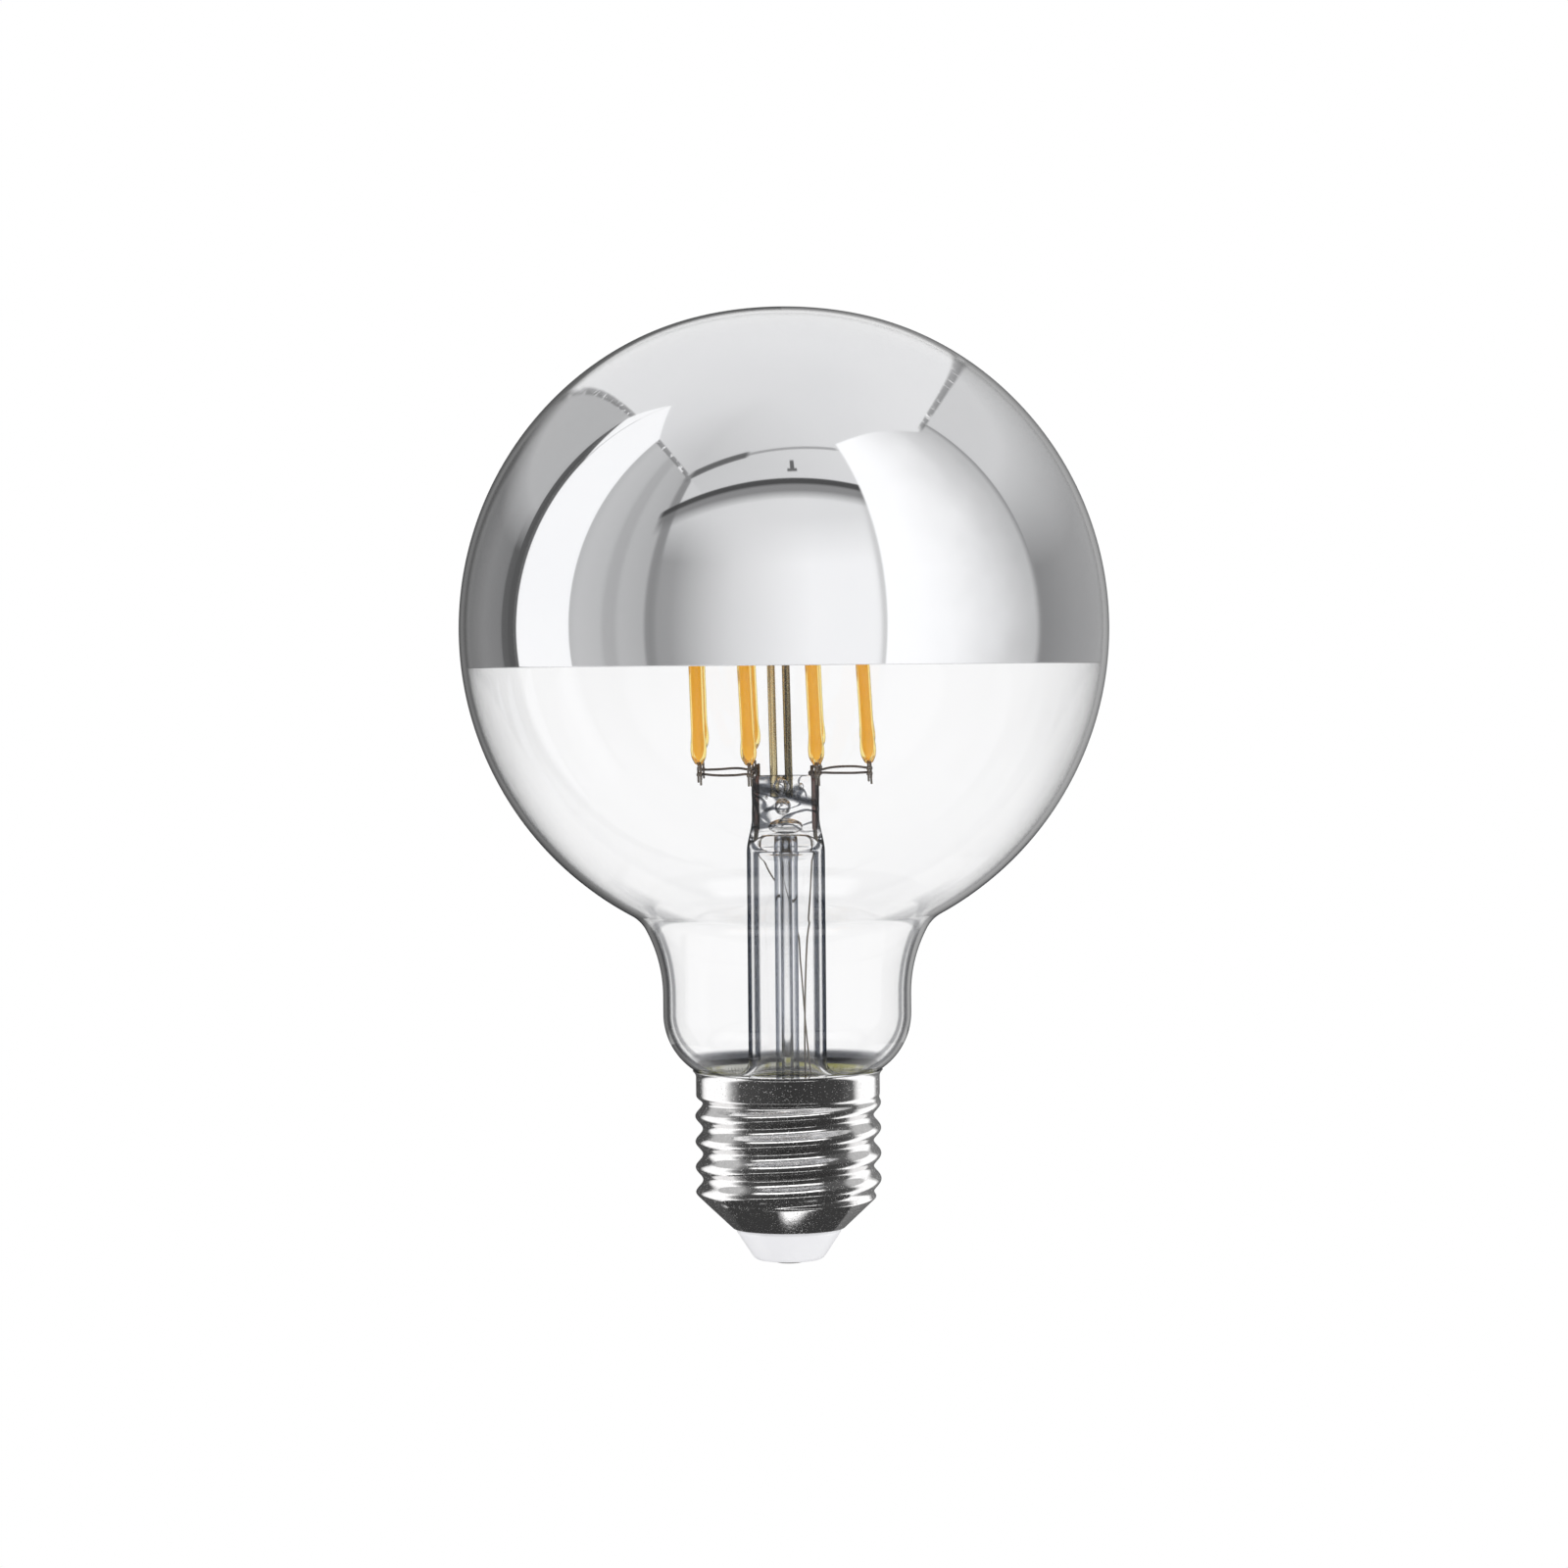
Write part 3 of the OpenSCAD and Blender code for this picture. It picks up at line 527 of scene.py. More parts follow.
def glass_outline(inset):
    """Half outline of the blown glass from the pole to the seal."""
    globe = []
    for c, s in arc(0, 0, 1, math.pi / 2, globe_end, 110):
        globe.append((max(0.0, (globe_r - inset) * c),
                      globe_z + (globe_r - inset) * s - crown_drop * max(0.0, s) ** 16))
    shoulder = arc(tight_x, tight_z, shoulder_bend + inset, math.pi + globe_end, math.pi - bend_slope, 14)
    neck = arc(neck_r + neck_bend, neck_bend_z, neck_bend + inset, math.pi - bend_slope, math.pi, 16)
    foot = arc(neck_r - foot_bend, foot_z, foot_bend - inset, 0, -foot_end, 20)
    sleeve = [(sleeve_r - inset, foot_end_z - sleeve_gap - inset / 2), (sleeve_r - inset, seal_z)]
    return globe + shoulder[1:] + neck[1:] + foot + sleeve


def revolve(outline, around, closed=True):
    """Points and faces of a turned solid; points on the axis become poles."""
    points, rings = [], []
    for r, z in outline:
        if r < 1e-6:
            rings.append([len(points)] * around)
            points.append((0.0, 0.0, z))
        else:
            first = len(points)
            points += [(r * math.cos(math.tau * k / around), r * math.sin(math.tau * k / around), z)
                       for k in range(around)]
            rings.append(list(range(first, first + around)))
    faces = []
    pairs = list(zip(rings, rings[1:] + rings[:1])) if closed else list(zip(rings, rings[1:]))
    for low, high in pairs:
        if low[0] == low[-1] and high[0] == high[-1]:
            continue
        for k in range(around):
            corner = [low[k], low[(k + 1) % around], high[(k + 1) % around], high[k]]
            face = [p for i, p in enumerate(corner) if p not in corner[:i]]
            if len(face) > 2:
                faces.append(face)
    return points, faces


def placed(points, move):
    """The same points moved by a matrix in mm."""
    return [tuple(move @ Vector(p)) for p in points]


def joined(*parts):
    """Several sets of points and faces as one."""
    points, faces = [], []
    for some_points, some_faces in parts:
        first = len(points)
        points += some_points
        faces += [[first + i for i in face] for face in some_faces]
    return points, faces


def smooth_path(corners, steps):
    """A smooth curve through a few points."""
    corners = [Vector(c) for c in corners]
    last = len(corners) - 1
    made = []
    for i in range(last):
        a, b, c, d = corners[max(i - 1, 0)], corners[i], corners[i + 1], corners[min(i + 2, last)]
        for s in range(steps):
            t = s / steps
            made.append(0.5 * (2 * b + (c - a) * t + (2 * a - 5 * b + 4 * c - d) * t * t
                               + (3 * b - a - 3 * c + d) * t ** 3))
    return made + [corners[-1]]


def ramp(x):
    """Eases from 0 to 1."""
    t = min(1.0, max(0.0, x))
    return t * t * (3 - 2 * t)


# Blown glass and mirror
# The first colour of each glass is the slate of its painted edge shade
envelope_glass = clear_glass("envelope_glass", (46, 52, 66), (0.84, 0.98, 0.98), 0.000006, 90.0, 1.3,
                             darker_neck)
stem_glass = clear_glass("stem_glass", (58, 64, 76), (0.78, 0.98, 0.95), 0.000012, 160.0, 1.5, pressed_stem)
exhaust_glass = clear_glass("exhaust_glass", (120, 128, 142), (0.06, 0.45, 0.9), 0.000008, 120.0, 1.3)
silver = crown_silver()

outer, inner = glass_outline(0), glass_outline(glass_wall)
mesh_piece("glass_envelope", *revolve(outer + inner[::-1], 192), envelope_glass, "clear_glass", "envelope")


def above_edge(outline):
    """The outline from the pole down to the mirror's edge, cut exactly there."""
    kept = [p for p in outline if p[1] > mirror_z]
    (r0, z0), (r1, z1) = kept[-1], outline[len(kept)]
    return kept + [(r0 + (r1 - r0) * (z0 - mirror_z) / (z0 - z1), mirror_z)]


film_gap, film = 0.005, 0.02
film_outer = above_edge(glass_outline(glass_wall + film_gap))
film_inner = above_edge(glass_outline(glass_wall + film_gap + film))
mesh_piece("crown_silvering", *revolve(film_outer + film_inner[::-1], 192), silver, "mirror", "crown_mirror")


# Stem
def stem_rings(sides=96):
    """Outer and inner rings of the stem: bell, tube, pinched press; the inside closes under the press."""
    bell_x = stem_r + flare_bend

    def oval(half_x, half_y, power, z):
        ring = []
        for k in range(sides):
            a = math.tau * k / sides
            c, s = math.cos(a), math.sin(a)
            scale = (abs(c) ** power + abs(s) ** power) ** (-1 / power)
            ring.append((half_x * c * scale, half_y * s * scale, z))
        return ring

    def jaw(z):
        low = press_z - z
        if low <= 0:
            return press_half_t
        return min(stem_r, press_half_t + jaw_r - math.sqrt(max(0.0, jaw_r ** 2 - low ** 2)))

    rings = []
    bell = arc(bell_x, flare_top_z, flare_bend, 1.5 * math.pi, math.pi, 14)
    for r, z in [(sleeve_r, seal_z - stem_wall), (sleeve_r, seal_z)] + bell:
        rings.append(oval(r, r, 2, z))
    for i in range(1, 12):
        rings.append(oval(stem_r, stem_r, 2, flare_top_z + (plain_tube_z - flare_top_z) * i / 11))
    pinch_z = press_z + 0.4
    for i in range(1, 29):
        z = plain_tube_z + (pinch_z - plain_tube_z) * i / 28
        t = ramp((z - tube_top_z) / (press_z - tube_top_z))
        rings.append(oval(stem_r + (press_half_w - stem_r) * t, min(stem_r, jaw(z)),
                          2 + (press_power - 2) * t, z))
    for i in range(1, 20):
        rings.append(oval(press_half_w, press_half_t, press_power, pinch_z + 5.0 * i / 20))
    for i in range(1, 13):
        a = math.pi / 2 * i / 12
        cut = press_round * (1 - math.cos(a))
        rings.append(oval(press_half_w - cut, press_half_t - cut, press_power,
                          press_top_z - press_round + press_round * math.sin(a)))
    hollow = []
    for r, z in arc(bell_x, flare_top_z, flare_bend + stem_wall, 1.5 * math.pi, math.pi, 14)[1:]:
        hollow.append(oval(r, r, 2, z))
    bore = stem_r - stem_wall
    narrow_z = roof_z - 3.4
    for i in range(1, 10):
        hollow.append(oval(bore, bore, 2, flare_top_z + (narrow_z - flare_top_z) * i / 9))
    for i in range(1, 22):
        t = i / 21
        curve = 1 - math.sqrt(1 - (0.96 * t) ** 2)
        hollow.append(oval(bore - 1.75 * curve, bore - (bore - exhaust_r - 0.02) * ramp(t), 2 + 0.6 * t,
                           narrow_z + (roof_z - narrow_z) * t))
    return rings, hollow


def stem_body():
    """The stem as one closed skin, with a slight waviness in the press."""
    rings, hollow = stem_rings()
    sides = len(rings[0])
    chain = hollow[::-1] + rings
    points = []
    for x, y, z in [p for ring in chain for p in ring]:
        wave = noise.noise(Vector((x * 0.25, y * 0.2, z * 0.34))) * ramp((z - press_z + 1) / 2)
        points.append((x * (1 - 0.03 * abs(wave)), y * (1 - 0.1 * abs(wave)), z))
    faces = []
    for i in range(len(chain) - 1):
        for k in range(sides):
            faces.append([i * sides + k, i * sides + (k + 1) % sides,
                          (i + 1) * sides + (k + 1) % sides, (i + 1) * sides + k])
    roof, top = len(points), len(points) + 1
    points += [(0, 0, roof_z + 0.15), (0, 0, press_top_z + 0.05)]
    end = (len(chain) - 1) * sides
    for k in range(sides):
        faces.append([roof, (k + 1) % sides, k])
        faces.append([top, end + k, end + (k + 1) % sides])
    return points, faces


mesh_piece("stem_and_press", *stem_body(), stem_glass, "stem_glass", "stem_flare")

tip = exhaust_tip_z
exhaust_outline = (
    [(0.66, tip + 0.15), (0.85, tip), (1.1, tip + 0.12), (1.4, tip + 0.6), (exhaust_r, tip + 1.65)]
    + [(exhaust_r, tip + 1.65 + (roof_z - 0.1 - tip - 1.65) * i / 24) for i in range(1, 25)]
    + [(exhaust_bore_r, roof_z - 0.1), (exhaust_bore_r, tip + 1.65)])
mesh_piece("exhaust", *revolve(exhaust_outline, 48), exhaust_glass, "stem_glass", "exhaust_tube")


def bubble_air():
    """Air inside glass: light bends the other way round."""
    graph = material("bubble_air")
    wave = graph.noise(900.0, 1.0, 0.5)
    glass = graph.node("ShaderNodeBsdfGlass", {"IOR": 1 / 1.5, "Roughness": 0.0,
                                               "Normal": graph.bump(wave, 0.5, 0.00002)})
    return surfaced(graph, glass)


def ball(x, y, z, rx, ry, rz):
    """A bubble by its centre and half sizes."""
    outline = [(math.cos(a), math.sin(a)) for a in [math.pi * (i / 20 - 0.5) for i in range(21)]]
    points, faces = revolve([(max(0.0, r), h) for r, h in outline], 32, closed=False)
    return [(x + px * rx, y + py * ry, z + pz * rz) for px, py, pz in points], faces


air = bubble_air()
vent_bubbles = joined(
    ball(-0.6, -0.75, press_top_z - 1.6, 1.18, 0.9, 1.2),
    ball(-0.4, -0.6, vent_z - 0.05, 1.2, 1.1, 1.2),
    ball(0.0, 0.0, roof_z + 1.35, 2.4, 1.2, 1.2),
    ball(2.2, 0.4, press_top_z - 1.6, 0.4, 0.35, 0.5), ball(-2.6, -0.3, press_top_z - 3.1, 0.2, 0.2, 0.28))
mesh_piece("press_bubbles", *vent_bubbles, air, "stem_glass")


# Leads, rods, filaments, tabs and carriers
def rod_painted_lines():
    """Support rod: gold and dark streaks run lengthwise, a painted highlight and painted shade for its
    reflections.
    """
    graph = material("rod_painted_lines")
    streak = graph.noise(1.0, 1.0, 0.4, vector=graph.stretched((1700.0, 1700.0, 22.0)))
    grain = graph.noise(3000.0)
    # Gold streaks are painted highlight, dark streaks painted shade
    colour = graph.blend(graph.step(streak, 0.44, 0.14), tint(84, 80, 66), tint(222, 206, 160))
    return principled(graph, Base_Color=colour, Metallic=1.0, Roughness=0.2 + 0.15 * grain,
                      Normal=graph.bump(streak, 0.4, 0.00002))


copper = drawn_metal("dumet_copper", (150, 108, 98), (98, 66, 60), 0.32)
nickel = drawn_metal("lead_nickel", (120, 108, 88), (78, 68, 54), 0.36)

entry_z = roof_z - 1.5


def lead_point(x, y, rise):
    """Across and deep in shares of the seal's spacing, and up from the board to the press."""
    return (x * lead_x, y * lead_x, board_top_z + rise * (entry_z - board_top_z))


path_right = [lead_point(0.68, 0, 0)] + smooth_path([
    (0.68 * lead_x, 0, board_top_z + 0.6), lead_point(0.66, -0.16, 0.14), lead_point(0.63, -0.34, 0.33),
    lead_point(0.71, -0.32, 0.61), lead_point(0.9, -0.13, 0.85), lead_point(1, 0, 1)], 12) + [
        (lead_x, 0, lead_top_z)]
path_left = [lead_point(1.05, 0, 0)] + smooth_path([
    (1.05 * lead_x, 0, board_top_z + 0.6), lead_point(0.9, 0.21, 0.14), lead_point(0.71, 0.5, 0.35),
    lead_point(0.55, 0.66, 0.56), lead_point(0.34, 0.74, 0.74), lead_point(-0.72, 0.42, 0.92),
    lead_point(-1, 0, 1)], 12) + [(-lead_x, 0, lead_top_z)]


def lead_share(t):
    """The lead is a thin wire inside the tube and thicker where it leaves the press."""
    return 0.5 + 0.5 * ramp((t - 0.97) / 0.02)


wire_piece("lead_right", [path_right], lead_r, 16, nickel, "lead_wire", "lead_wire_right", lead_share)
wire_piece("lead_left", [path_left], lead_r, 16, nickel, "lead_wire", "lead_wire_left", lead_share)
dumet_paths = [[(side * lead_x, 0, z) for z in (61.4, 62.5, 64.5, 66.5, 68.4, 69.0)] for side in (-1, 1)]
wire_piece("dumet_seals", dumet_paths, seal_wire_r, 20, copper, "lead_wire")


def is_rear(i):
    """Filaments 1 to 4 stand on the rear carriers."""
    return i <= 4


def azimuth(i):
    """A filament's direction on the cage."""
    return cage_turn - math.pi / 8 + math.pi / 4 * i


def on_cage(i):
    """A filament's place at its carrier's level, leaning to one side, and the ways up from there to its
    foot and to the upper ring; the outermost splay a little."""
    level = rear_wire_z if is_rear(i) else front_wire_z
    c, s = math.cos(azimuth(i)), math.sin(azimuth(i))
    splay = math.copysign(foot_splay, c) if abs(c) > 0.7 else 0.0
    at = Matrix.Translation((cage_r * c + splay, cage_r * s, level))
    foot = (filament_z + (rear_lift if is_rear(i) else 0) - level) / math.cos(cage_lean)
    ring = (upper_ring_z - level) / math.cos(cage_lean)
    return at @ Matrix.Rotation(-cage_lean - math.atan(splay / (upper_ring_z - level)), 4, "Y"), foot, ring


def filament_piece(name, i, thickness, shorter, sides, look, node=None):
    """A stick on the cage that swells near each end and tapers to its tab, with an uneven skin."""
    move, foot, _ = on_cage(i)
    length = filament_len - 2 * shorter

    def share(t):
        z = length * t
        end = min(z, length - z)
        r = filament_r + (swell_r - filament_r) * (ramp((end - 0.2) / 1.1) - ramp((end - 2.0) / 2.6))
        taper = min(1.0, end / (2.3 if t < 0.5 else 1.2))
        lump = noise.noise(Vector((9.0 * i, 0.0, z * 0.42))) * 0.5 + 0.5
        return (0.24 + 0.76 * math.sqrt(1 - (1 - taper) ** 2)) * r * (1 - 0.05 * lump)

    path = [tuple(move @ Vector((0, 0, foot + shorter + length * k / 150))) for k in range(151)]
    wire_piece(name, [path], thickness, sides, look, "phosphor", node, share)


core, coat = phosphor_core(), silicone_coat()
for i in range(1, 9):
    filament_piece(f"filament_coat_{i}", i, 1.0, 0.0, 28, coat, f"filament_{i}")
    filament_piece(f"filament_core_{i}", i, core_share, core_inset, 20, core)


def box_at(low, high):
    """A small plate with its edges cut."""
    c = 0.06
    points, faces = [], []
    rings = [(low[2], c), (low[2] + c, 0.0), (high[2] - c, 0.0), (high[2], c)]
    for z, inset in rings:
        x0, y0, x1, y1 = low[0] + inset, low[1] + inset, high[0] - inset, high[1] - inset
        points += [(x0 + c, y0, z), (x1 - c, y0, z), (x1, y0 + c, z), (x1, y1 - c, z),
                   (x1 - c, y1, z), (x0 + c, y1, z), (x0, y1 - c, z), (x0, y0 + c, z)]
    for i in range(3):
        faces += [[i * 8 + k, i * 8 + (k + 1) % 8, i * 8 + 8 + (k + 1) % 8, i * 8 + 8 + k] for k in range(8)]
    return points, faces + [list(range(8))[::-1], [24 + k for k in range(8)]]


def filament_tabs(i):
    """Lower tab with a slit for the carrier, and the upper tab up to the ring."""
    move, foot, ring = on_cage(i)
    head = foot + filament_len
    facing = Matrix.Rotation(cage_turn + math.pi / 4 + math.pi / 2 * ((i - 1) // 2), 4, "Z")
    outward = Matrix.Rotation(azimuth(i), 4, "Z")
    t, w, slit, tail = 0.15, 0.38, 0.14, 1.6
    lower = joined(
        box_at((-t, -w, -tail + 0.2 * (i % 3)), (t, -slit, 0.7)), box_at((-t, slit, -tail), (t, w, 0.7)),
        box_at((-t, -w, 0.55), (t, w, 1.0)), box_at((-t * 0.8, -0.3, 0.9), (t * 0.8, 0.3, foot + 0.6)),
        box_at((-t - 0.12, -w - 0.04, -0.3), (t + 0.1, w + 0.04, 0.14)))
    upper = box_at((-t, -w, head - 0.6), (t, w, ring + 0.6))
    return joined((placed(lower[0], move @ facing), lower[1]), (placed(upper[0], move @ outward), upper[1]))


tab_look = drawn_metal("tab_steel", (150, 142, 132), (92, 84, 76), 0.34)
for i in range(1, 9):
    mesh_piece(f"tabs_{i}", *filament_tabs(i), tab_look, "tab_metal", f"filament_tabs_{i}")


def carrier(side, depth, level, seed):
    """A carrier wire with the small kinks of hand assembly and the weld at its lead."""
    rng = random.Random(seed)
    right, rear = [Vector((math.cos(a), math.sin(a))) for a in (cage_turn, cage_turn + math.pi / 2)]
    normal = (side * right + depth * rear) * math.sqrt(0.5)
    along = (side * right - depth * rear) * math.sqrt(0.5)
    chord_half = cage_r * math.sin(math.pi / 8)
    chord_off = cage_r * math.cos(math.pi / 8) - 0.2 - carrier_d / 2
    outer_end = chord_off * normal + (chord_half + 0.8) * along + Vector((side * foot_splay, 0))
    inner_end = chord_off * normal - (chord_half - 0.2) * along
    corner = chord_off * normal - (chord_half + 0.7) * along
    lead = Vector((side * (lead_x + (2 * lead_r + carrier_d) / 2), depth * -0.6))
    leave = corner + 0.12 * (lead - corner)
    bend = corner_curve(inner_end, corner, leave, 4)
    flat = [outer_end, outer_end * 0.66 + inner_end * 0.34, outer_end * 0.3 + inner_end * 0.7] + bend + [
        Vector((lead[0], depth * 2.0)), lead]
    points = []
    for k, p in enumerate(flat):
        near_end = k in (0, len(flat) - 1)
        wander = 0.25 if k < 3 else 0.45
        lift = -depth * 0.1 if near_end else rng.uniform(-wander, wander)
        points.append((p[0] + (0 if near_end else rng.uniform(-wander, wander)), p[1], level + lift))
    return smooth_path(points, 6)


wire_look = drawn_metal("carrier_steel", (112, 102, 96), (58, 50, 46), 0.36)
places = {("left", "front"): (-1, -1, front_wire_z), ("left", "rear"): (-1, 1, rear_wire_z),
          ("right", "front"): (1, -1, front_wire_z), ("right", "rear"): (1, 1, rear_wire_z)}
for number, (place, where) in enumerate(places.items()):
    name = f"{place[0]}_{place[1]}"
    wire_piece(f"carrier_{name}", [carrier(*where, number + 3)], thin_carrier_r, 12, wire_look,
               "support_wire", f"lower_carrier_{name}")


# Cap
shell_sizes = {
    "Crest radius": thread_crest_r, "Thread depth": thread_depth, "Pitch": thread_pitch,
    "Thread start": thread_start_z, "Fade low": fade_low_z, "Fade high": fade_high_z, "Skirt radius": skirt_r,
    "Lip radius": lip_r, "Lip depth": lip_depth, "Edge radius": shell_edge_r, "Cone rise": cone_rise / MM,
    "Bottom": shell_z, "Top": lip_z, "Sheet": sheet}
grown("threaded_shell", rolled_shell_tool(220, 190), bpy.data.meshes.new("shell_seed"),
      {label: size * MM for label, size in shell_sizes.items()}, cap_plating(), "cap_metal", "screw_shell")


def rounded(corners, radius, steps=5):
    """An outline with its inner corners rounded."""
    made = [corners[0]]
    for before, at, after in zip(corners, corners[1:], corners[2:]):
        b, p, a = Vector(before), Vector(at), Vector(after)
        reach = min(radius, (b - p).length * 0.45, (a - p).length * 0.45)
        start, end = p + (b - p).normalized() * reach, p + (a - p).normalized() * reach
        made += [tuple(q) for q in corner_curve(start, p, end, steps)]
    return made + [corners[-1]]


flange_r = insulator_r + (insulator_top_z - shell_z) / cone_rise
floor_z = contact_rise + insulator_floor
insulator_outline = rounded([
    (shank_r, contact_rise), (insulator_end_r - 0.5, contact_rise), (insulator_end_r, contact_rise + 0.4),
    (insulator_r, shell_z - 0.5), (insulator_r, shell_z), (flange_r - 0.05, insulator_top_z),
    (flange_r - insulator_wall, insulator_top_z), (insulator_r - insulator_wall, shell_z),
    (insulator_end_r - 0.6, floor_z), (shank_r, floor_z)], 0.35)
mesh_piece("insulator", *revolve(insulator_outline, 96), insulator_white(), "insulator", "cap_insulator")

head_round = 1.0
rivet_outline = (
    [(0.0, 0.0)]
    + [(contact_r - head_round * (1 - math.sin(a)), contact_rise * (1 - math.cos(a)))
       for a in [math.pi / 2 * i / 8 for i in range(9)]]
    + [(shank_r, contact_rise), (shank_r, floor_z), (shank_r + 0.7, floor_z), (shank_r + 0.5, floor_z + 0.5),
       (0.0, floor_z + 0.5)])
mesh_piece("contact_rivet", *revolve(rivet_outline, 64, closed=False),
           drawn_metal("contact_plating", (206, 196, 170), (158, 148, 122), 0.28, 900.0),
           "contact_metal", "centre_contact")

# Nodes kept as built
kept_looks = {
    "support_wire": rod_painted_lines(),
    "cement": cement_resin(),
    "board": plastic("board_mask", (30, 104, 62), (20, 76, 44), 0.35, 2600.0, 0.00003),
    "capacitor": plastic("capacitor_sleeve", (44, 48, 66), (28, 30, 44), 0.25, 1900.0, 0.00002),
    "chip": plastic("chip_resin", (48, 48, 52), (34, 34, 37), 0.5, 3200.0, 0.00004),
    "resistor": plastic("resistor_lacquer", (158, 196, 176), (120, 164, 140), 0.3, 1700.0, 0.00003),
    "hookup": plastic("hookup_sleeve", (176, 44, 36), (128, 26, 22), 0.35, 2100.0, 0.00002),
}
for kept in nodes.values():
    for place in kept.material_slots:
        if place.material and place.material.name.split(".")[0] in kept_looks:
            place.material = kept_looks[place.material.name.split(".")[0]]

# Studio
SILVER_SHARE = 0.855


def heading(azimuth_degrees, elevation_degrees):
    """Direction by azimuth from the front towards the right, and elevation."""
    a, e = math.radians(azimuth_degrees), math.radians(elevation_degrees)
    return Vector((math.sin(a) * math.cos(e), -math.cos(a) * math.cos(e), math.sin(e)))


def tilted(azimuth_degrees, slope):
    """Normal of a plane through the lamp that climbs by this slope towards an azimuth."""
    a = math.radians(azimuth_degrees)
    return (Vector((math.sin(a), -math.cos(a), 0)) * -slope + Vector((0, 0, 1))).normalized()


def studio():
    """The room that the crown mirrors: window wall, two softboxes, walls and ceiling. The camera sees
    white, straight on and through the stem's glass."""
    world = bpy.data.worlds.new("studio")
    world.use_nodes = True
    scene.world = world
    graph = Graph(world.node_tree)
    towards = graph.node("ShaderNodeTexCoord").outputs["Generated"]
    x, y, z = (graph.dot(towards, axis) for axis in ((1, 0, 0), (0, 1, 0), (0, 0, 1)))
    az = graph.maths("ARCTAN2", x, -y) * math.degrees(1)
    el = graph.maths("ARCSINE", z) * math.degrees(1)

    def beyond(normal, soft=0.012):
        """1 on the normal's side of a great circle."""
        return graph.step(graph.dot(towards, tuple(normal)), 0.0, soft)

    def near(normal, reach):
        """1 close to a great circle."""
        return 1.0 - graph.step(graph.maths("ABSOLUTE", graph.dot(towards, tuple(normal))), reach, 0.008)

    def edge(a, b):
        """Normal of the great circle from a to b; the inside lies to the right, seen from the lamp."""
        return heading(*a).cross(heading(*b)).normalized()

    def panel(corners, soft=0.012):
        """A flat panel by its corners' directions, going round clockwise."""
        mask = None
        for a, b in zip(corners, corners[1:] + corners[:1]):
            side = beyond(edge(b, a), soft)
            mask = side if mask is None else mask * side
        return mask

    walls = graph.ramp(az, -180, 180, [
        (-180, 105), (-168, 92), (-160, 122), (-158.5, 90), (-153, 96), (-151.5, 124), (-147, 114),
        (-132, 130), (-119.5, 122), (-118.5, 92), (-108, 88),
        (-78, 190), (-68, 184), (-66, 170), (-62, 168), (-60, 180), (-50.5, 172), (-49, 132), (-46.5, 138),
        (-45, 149), (-40, 152), (-27, 192), (-18, 211), (0, 231), (10, 240), (33.5, 240), (35, 205),
        (100, 185), (103, 132), (125, 147), (160, 158), (180, 120)])
    higher_left = graph.step(el, 20.0, 9.0) * (1.0 - graph.step(az, -109.0, 1.0))
    walls = graph.over(walls, linear(176), higher_left)
    higher_right = graph.step(el, 24.0, 22.0) * graph.step(az, 103.0, 1.0)
    walls = graph.over(walls, linear(202), higher_right)
    window_top = graph.band(az, -46.0, 35.0, 1.0) * graph.step(el, 30.0, 16.0)
    walls = graph.over(walls, linear(212), window_top * 0.8)
    floor = 1.0 - graph.step(el, -24.0, 14.0)
    walls = graph.over(walls, linear(214), floor)

    ceiling = graph.ramp(az, -180, 180, [
        (-180, 224), (-120, 220), (-85, 214), (-50, 194), (0, 205), (35, 214), (90, 222), (180, 224)])
    ceiling = graph.over(ceiling, linear(217), graph.step(el, 74.0, 30.0))
    front_top, front_mid, front_low = (tilted(3.6, slope) for slope in (1.356, 1.25, 1.08))
    left_top, right_top, rear_top = tilted(-85, 1.507), tilted(91, 1.439), tilted(180, 0.36)
    tops = [beyond(normal, 0.01) for normal in (front_top, left_top, right_top, rear_top)]
    over_walls = tops[0] * tops[1] * tops[2] * tops[3]
    light = graph.over(walls, ceiling, over_walls)

    pelmet = (1.0 - tops[0]) * graph.band(az, -52.0, 38.0, 2.0)
    light = graph.over(light, linear(112), beyond(front_low, 0.06) * pelmet * 0.85)
    light = graph.over(light, linear(58), beyond(front_mid, 0.016) * pelmet * 0.85)
    beam_marks = graph.noise(26.0, 3.0, 0.7, vector=towards)
    for normal, low, high in ((left_top, -164.0, -49.0), (right_top, 97.0, 172.0)):
        line = near(normal, 0.011) * graph.band(az, low, high, 4.0)
        beam = graph.over(linear(110), linear(240), graph.step(beam_marks, 0.6, 0.08))
        light = graph.over(light, beam, line * 0.7)
    rail = tilted(8, 2.2)
    rail_line = near(rail, 0.009) * graph.band(az, -50.0, 36.0, 3.0)
    light = graph.over(light, linear(140), rail_line * 0.75)
    thick_rail = near(rail, 0.02) * graph.band(az, -48.0, -22.0, 3.0)
    light = graph.over(light, linear(80), thick_rail * 0.85)
    hook = graph.band(az, 4.2, 6.6, 0.5) * graph.band(el, 56.4, 60.6, 0.8)
    foot = graph.band(az, 2.6, 8.0, 0.5) * graph.band(el, 56.2, 57.4, 0.6)
    light = graph.over(light, linear(60), graph.most(hook, foot) * 0.85)

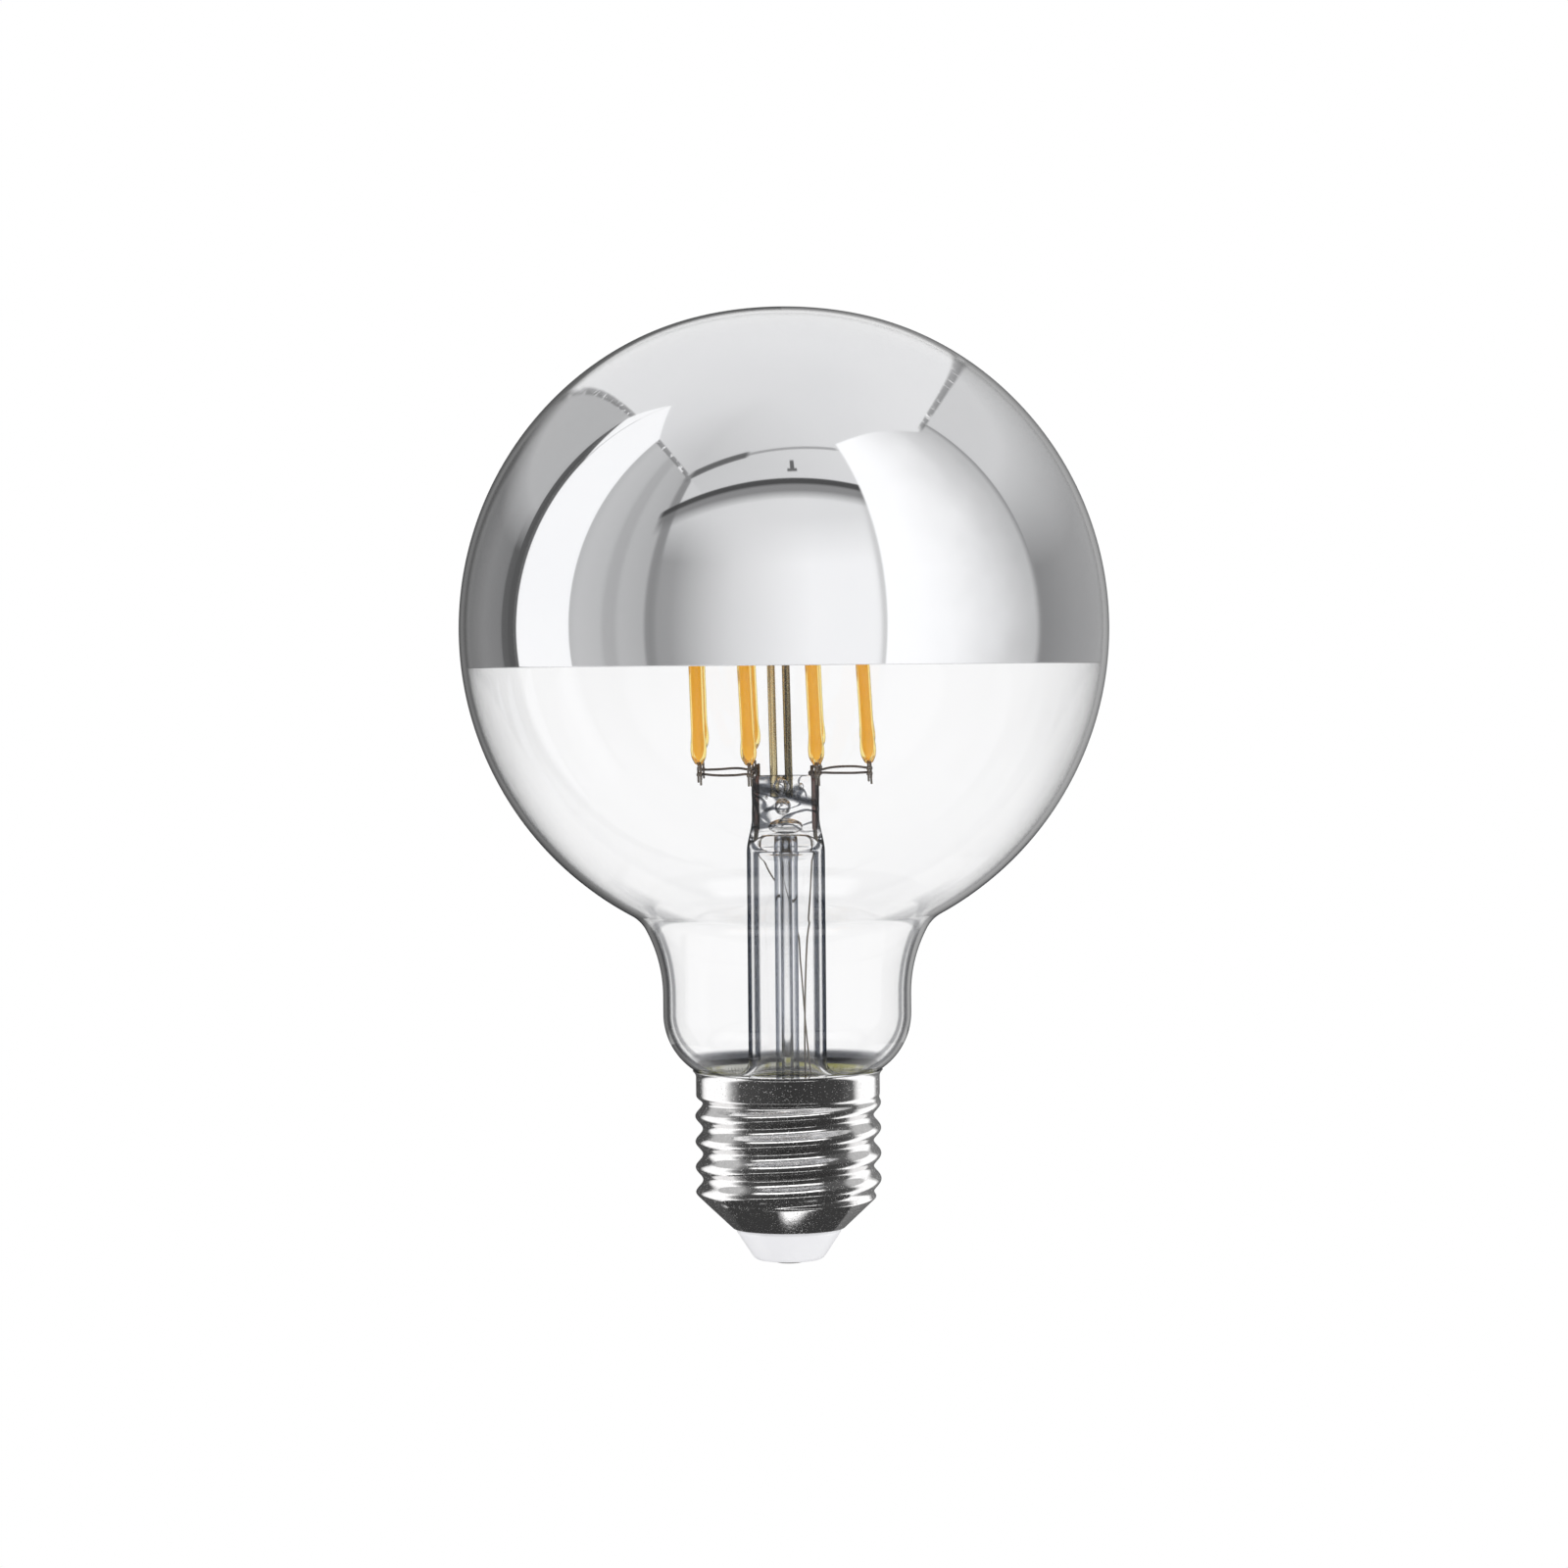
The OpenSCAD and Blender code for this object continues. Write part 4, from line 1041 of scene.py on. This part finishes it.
    side_of_box = panel([(-114.6, -70), (-114.6, 20), (-114.5, 50), (-106, 40), (-106, -70)])
    light = graph.over(light, linear(84), side_of_box)
    left_box = panel([(-109, -70), (-109, 39), (-108, 62.7), (-83, 57), (-78.5, -70)])
    left_tip = panel([(-109, 39), (-114.7, 51.5), (-108, 62.7)])
    light = graph.over(light, linear(246), graph.most(left_box, left_tip))
    right_box = panel([(34.6, -70), (37.8, 66.3), (71.9, 63.3), (98, 54.8), (103, -70)])
    right_level = graph.ramp(az, 30, 110, [(30, 254), (50, 252), (60, 245), (72, 233), (78, 224), (85, 209),
                                           (91, 199), (99, 186), (110, 180)])
    haze = graph.noise(5.0, 3.0, 0.5, vector=towards)
    right_level = right_level * (1.0 - 0.22 * (haze - 0.5) * graph.step(az, 62.0, 30.0))
    light = graph.over(light, right_level, right_box)

    ray = graph.node("ShaderNodeLightPath").outputs
    glossy, crossed, scattered = (Value(graph, ray[kind + " Depth"])
                                  for kind in ("Glossy", "Transmission", "Diffuse"))
    in_stem = graph.step(crossed, 5.5, 0.5) * (1.0 - graph.step(glossy, 2.5, 0.5))
    mirrored = graph.step(glossy, 0.5, 0.5) * (1.0 - in_stem)
    straight = 1.0 - 0.12 * graph.step(scattered, 0.5, 0.5)
    level = graph.over(straight, light * (1 / SILVER_SHARE), mirrored)
    background = graph.node("ShaderNodeBackground", {"Color": level, "Strength": 1.0})
    graph.node("ShaderNodeOutputWorld", {"Surface": background.outputs[0]})


studio()


def turned_surface(name, outline, look, unseen):
    """A turned surface round the lamp that isn't part of it, hidden from some kinds of ray."""
    thing = added(name, mesh_of(name, *revolve(outline, 96, closed=False)))
    thing.data.materials.append(look)
    for kind in unseen:
        setattr(thing, "visible_" + kind, False)
    return thing


def stage_floor():
    """White floor under the lamp."""
    graph = material("floor_white")
    colour = graph.blend(graph.noise(30.0), tint(250, 250, 250), tint(252, 252, 252))
    floor = turned_surface("floor", [(0.0, -100.0), (220.0, -100.0), (220.0, -102.0), (0.0, -102.0)],
                           principled(graph, Base_Color=colour, Roughness=0.8), ["glossy"])


stage_floor()


def cap_cards():
    """Dark and bright cards round the cap, seen only in its reflections."""
    graph = material("cap_cards")
    x, y, z = graph.place()
    az = graph.maths("ARCTAN2", x, -y) * math.degrees(1)
    sides = graph.ramp(az, -180, 180, [
        (-180, 62), (-118, 74), (-108, 240), (-100, 255), (-70, 255), (-60, 150), (-50, 70), (0, 50),
        (55, 60), (72, 90), (80, 240), (86, 255), (114, 255), (124, 120), (180, 60)])
    ahead = graph.band(az, -44.0, 38.0, 10.0)
    from_axis = graph.maths("SQRT", x * x + y * y)
    top = graph.step(z, 0.0295, 0.0004)
    under = 1.0 - graph.step(z, -0.0195, 0.0004)
    upper_bar = graph.band(from_axis, 0.0215, 0.0285, 0.002) * top * ahead
    lower_bar = graph.band(z, -0.008, -0.005, 0.001) * ahead
    window = graph.band(x, -0.0030, 0.0125, 0.004) * graph.band(y, -0.0080, -0.0054, 0.0012) * under
    rim = graph.band(x, -0.011, 0.011, 0.004) * graph.band(y, -0.0092, -0.0086, 0.0003) * under
    light = graph.over(sides, linear(56), under)
    light = graph.over(light, linear(90), top * 0.6)
    light = graph.over(light, 1.5, graph.most(upper_bar, lower_bar, window, rim))
    glow = graph.node("ShaderNodeEmission", {"Color": light, "Strength": 1.35})
    cards = turned_surface("cap_cards", [(0.0, -20.0), (32.0, -20.0), (32.0, 30.0), (18.5, 30.0)],
                           surfaced(graph, glow), ["camera", "diffuse", "transmission", "shadow"])


cap_cards()


def lamp(name, at, size, power):
    """A soft lamp, seen by no camera and in no reflection."""
    light = bpy.data.lights.new(name, "AREA")
    light.shape, light.size, light.size_y, light.energy = "RECTANGLE", size[0], size[1], power
    placed_lamp = added(name, light)
    placed_lamp.location = at
    placed_lamp.rotation_euler = (Vector((0, 0, 0.06)) - Vector(at)).to_track_quat("-Z", "Y").to_euler()
    placed_lamp.visible_camera = placed_lamp.visible_glossy = placed_lamp.visible_transmission = False


lamp("left_soft", (-0.7, -0.3, 0.25), (0.5, 0.7), 1.2)
lamp("right_soft", (0.7, -0.4, 0.25), (0.5, 0.7), 1.6)

camera = added("camera", bpy.data.cameras.new("camera"))
camera.location = (-0.00018, -0.600, 0.0848)
aim = Matrix.Rotation(math.radians(90 - 1.604), 3, "X") @ Matrix.Rotation(math.radians(-0.5), 3, "Z")
camera.rotation_euler = aim.to_euler()
camera.data.lens = 97.2
camera.data.sensor_width = 36
camera.data.clip_start = 0.01
scene.camera = camera

scene.view_settings.view_transform = "Standard"
scene.cycles.max_bounces = 32
scene.cycles.transmission_bounces = 32
scene.cycles.glossy_bounces = 16
scene.cycles.transparent_max_bounces = 32
scene.cycles.diffuse_bounces = 4
